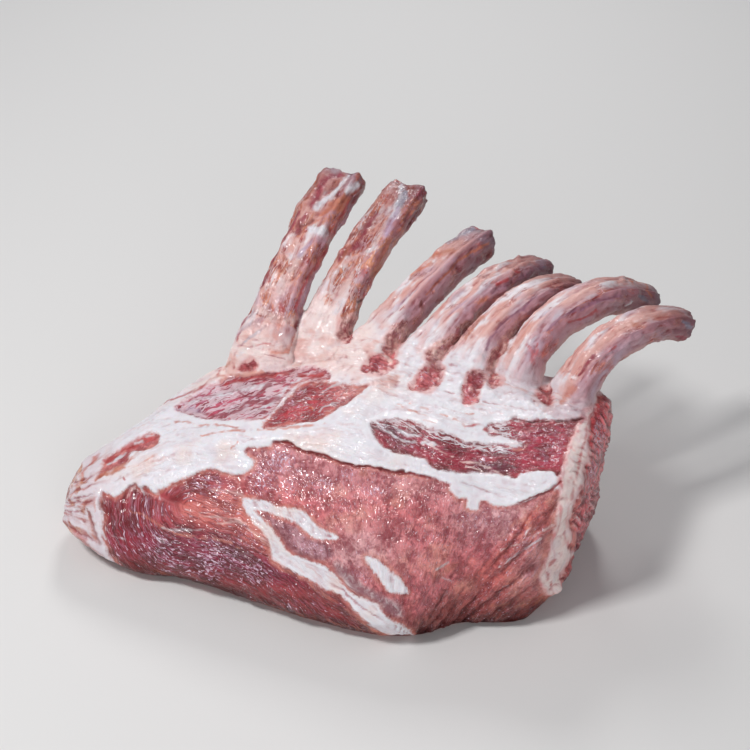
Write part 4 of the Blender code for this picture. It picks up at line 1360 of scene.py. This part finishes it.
def attribute(mesh, name, kind, values):
    layer = mesh.attributes.new(name, kind, "POINT")
    field = {"FLOAT_COLOR": "color", "FLOAT_VECTOR": "vector", "FLOAT": "value"}[kind]
    if kind == "FLOAT_COLOR":
        values = np.hstack([values, np.ones((len(values), 1))])
    layer.data.foreach_set(field, values.astype(np.float32).ravel())


def piece(name, chosen, node, material):
    """The chosen quads of the skin as one object that stands for a node."""
    used, index = np.unique(quads[chosen], return_inverse=True)
    mesh = bpy.data.meshes.new(name)
    mesh.from_pydata(moved[used].tolist(), [], index.reshape(-1, 4).tolist())
    for field, kind, values in PAINTED:
        attribute(mesh, field, kind, values[used])
    mesh.shade_smooth()
    mesh.normals_split_custom_set_from_vertices(final_out[used].tolist())
    mesh.materials.append(material)
    thing = bpy.data.objects.new(name, mesh)
    bpy.context.scene.collection.objects.link(thing)
    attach(thing, "root")
    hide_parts(node)


pork, rib_bone = flesh("raw_pork"), flesh("rib_bone")
of_bone = on_rib[quads].all(1)
middle = points[quads[:, 0], 0]
third = np.searchsorted(np.quantile(middle[~of_bone], (1 / 3, 2 / 3)), middle)
for number, name in enumerate(("meat_left", "meat_middle", "meat_right")):
    piece(name, ~of_bone & (third == number), "loin", pork)
for k in range(len(RIBS)):
    piece("bone_%d" % (k + 1), of_bone & (owner[quads[:, 0]] == k), "rib_%d" % (k + 1), rib_bone)


# ---------------------------------------------------------------- floor, light and camera
FLOOR = 6.0


def make_floor():
    corners = [(-FLOOR, -FLOOR, 0), (FLOOR, -FLOOR, 0), (FLOOR, FLOOR, 0), (-FLOOR, FLOOR, 0)]
    mesh = bpy.data.meshes.new("floor")
    mesh.from_pydata(corners, [], [(0, 1, 2, 3)])
    ground = Tree("floor")
    ground.shader.inputs["Base Color"].default_value = (0.76, 0.75, 0.74, 1)
    ground.shader.inputs["Roughness"].default_value = 0.7
    mesh.materials.append(ground.material)
    floor = bpy.data.objects.new("floor", mesh)
    bpy.context.scene.collection.objects.link(floor)


def lamp(name, place, size, energy):
    light = bpy.data.lights.new(name, "AREA")
    light.size = size
    light.energy = energy
    thing = bpy.data.objects.new(name, light)
    thing.location = place
    thing.rotation_euler = (Vector((0, 0, 0.05)) - Vector(place)).to_track_quat("-Z", "Y").to_euler()
    bpy.context.scene.collection.objects.link(thing)


def studio():
    lamp("key", (-0.50, -0.55, 1.15), 0.24, 10.2)
    lamp("back", (-0.35, 0.95, 0.95), 0.3, 5.0)
    lamp("front", (0.75, -1.25, 0.6), 0.8, 5.4)
    world = bpy.data.worlds.new("studio")
    world.use_nodes = True
    world.node_tree.nodes["Background"].inputs["Color"].default_value = (0.92, 0.94, 1.0, 1)
    world.node_tree.nodes["Background"].inputs["Strength"].default_value = 0.22
    bpy.context.scene.world = world
    bpy.context.scene.view_settings.view_transform = "Standard"


def photo_camera():
    camera = bpy.data.objects.new("camera", bpy.data.cameras.new("camera"))
    camera.data.lens = LENS
    camera.data.sensor_width = SENSOR
    camera.data.clip_start = 0.05
    camera.location = EYE.tolist()
    camera.rotation_euler = Matrix([RIGHT.tolist(), UP.tolist(), BACK.tolist()]).transposed().to_euler()
    bpy.context.scene.collection.objects.link(camera)
    bpy.context.scene.camera = camera


make_floor()
studio()
photo_camera()
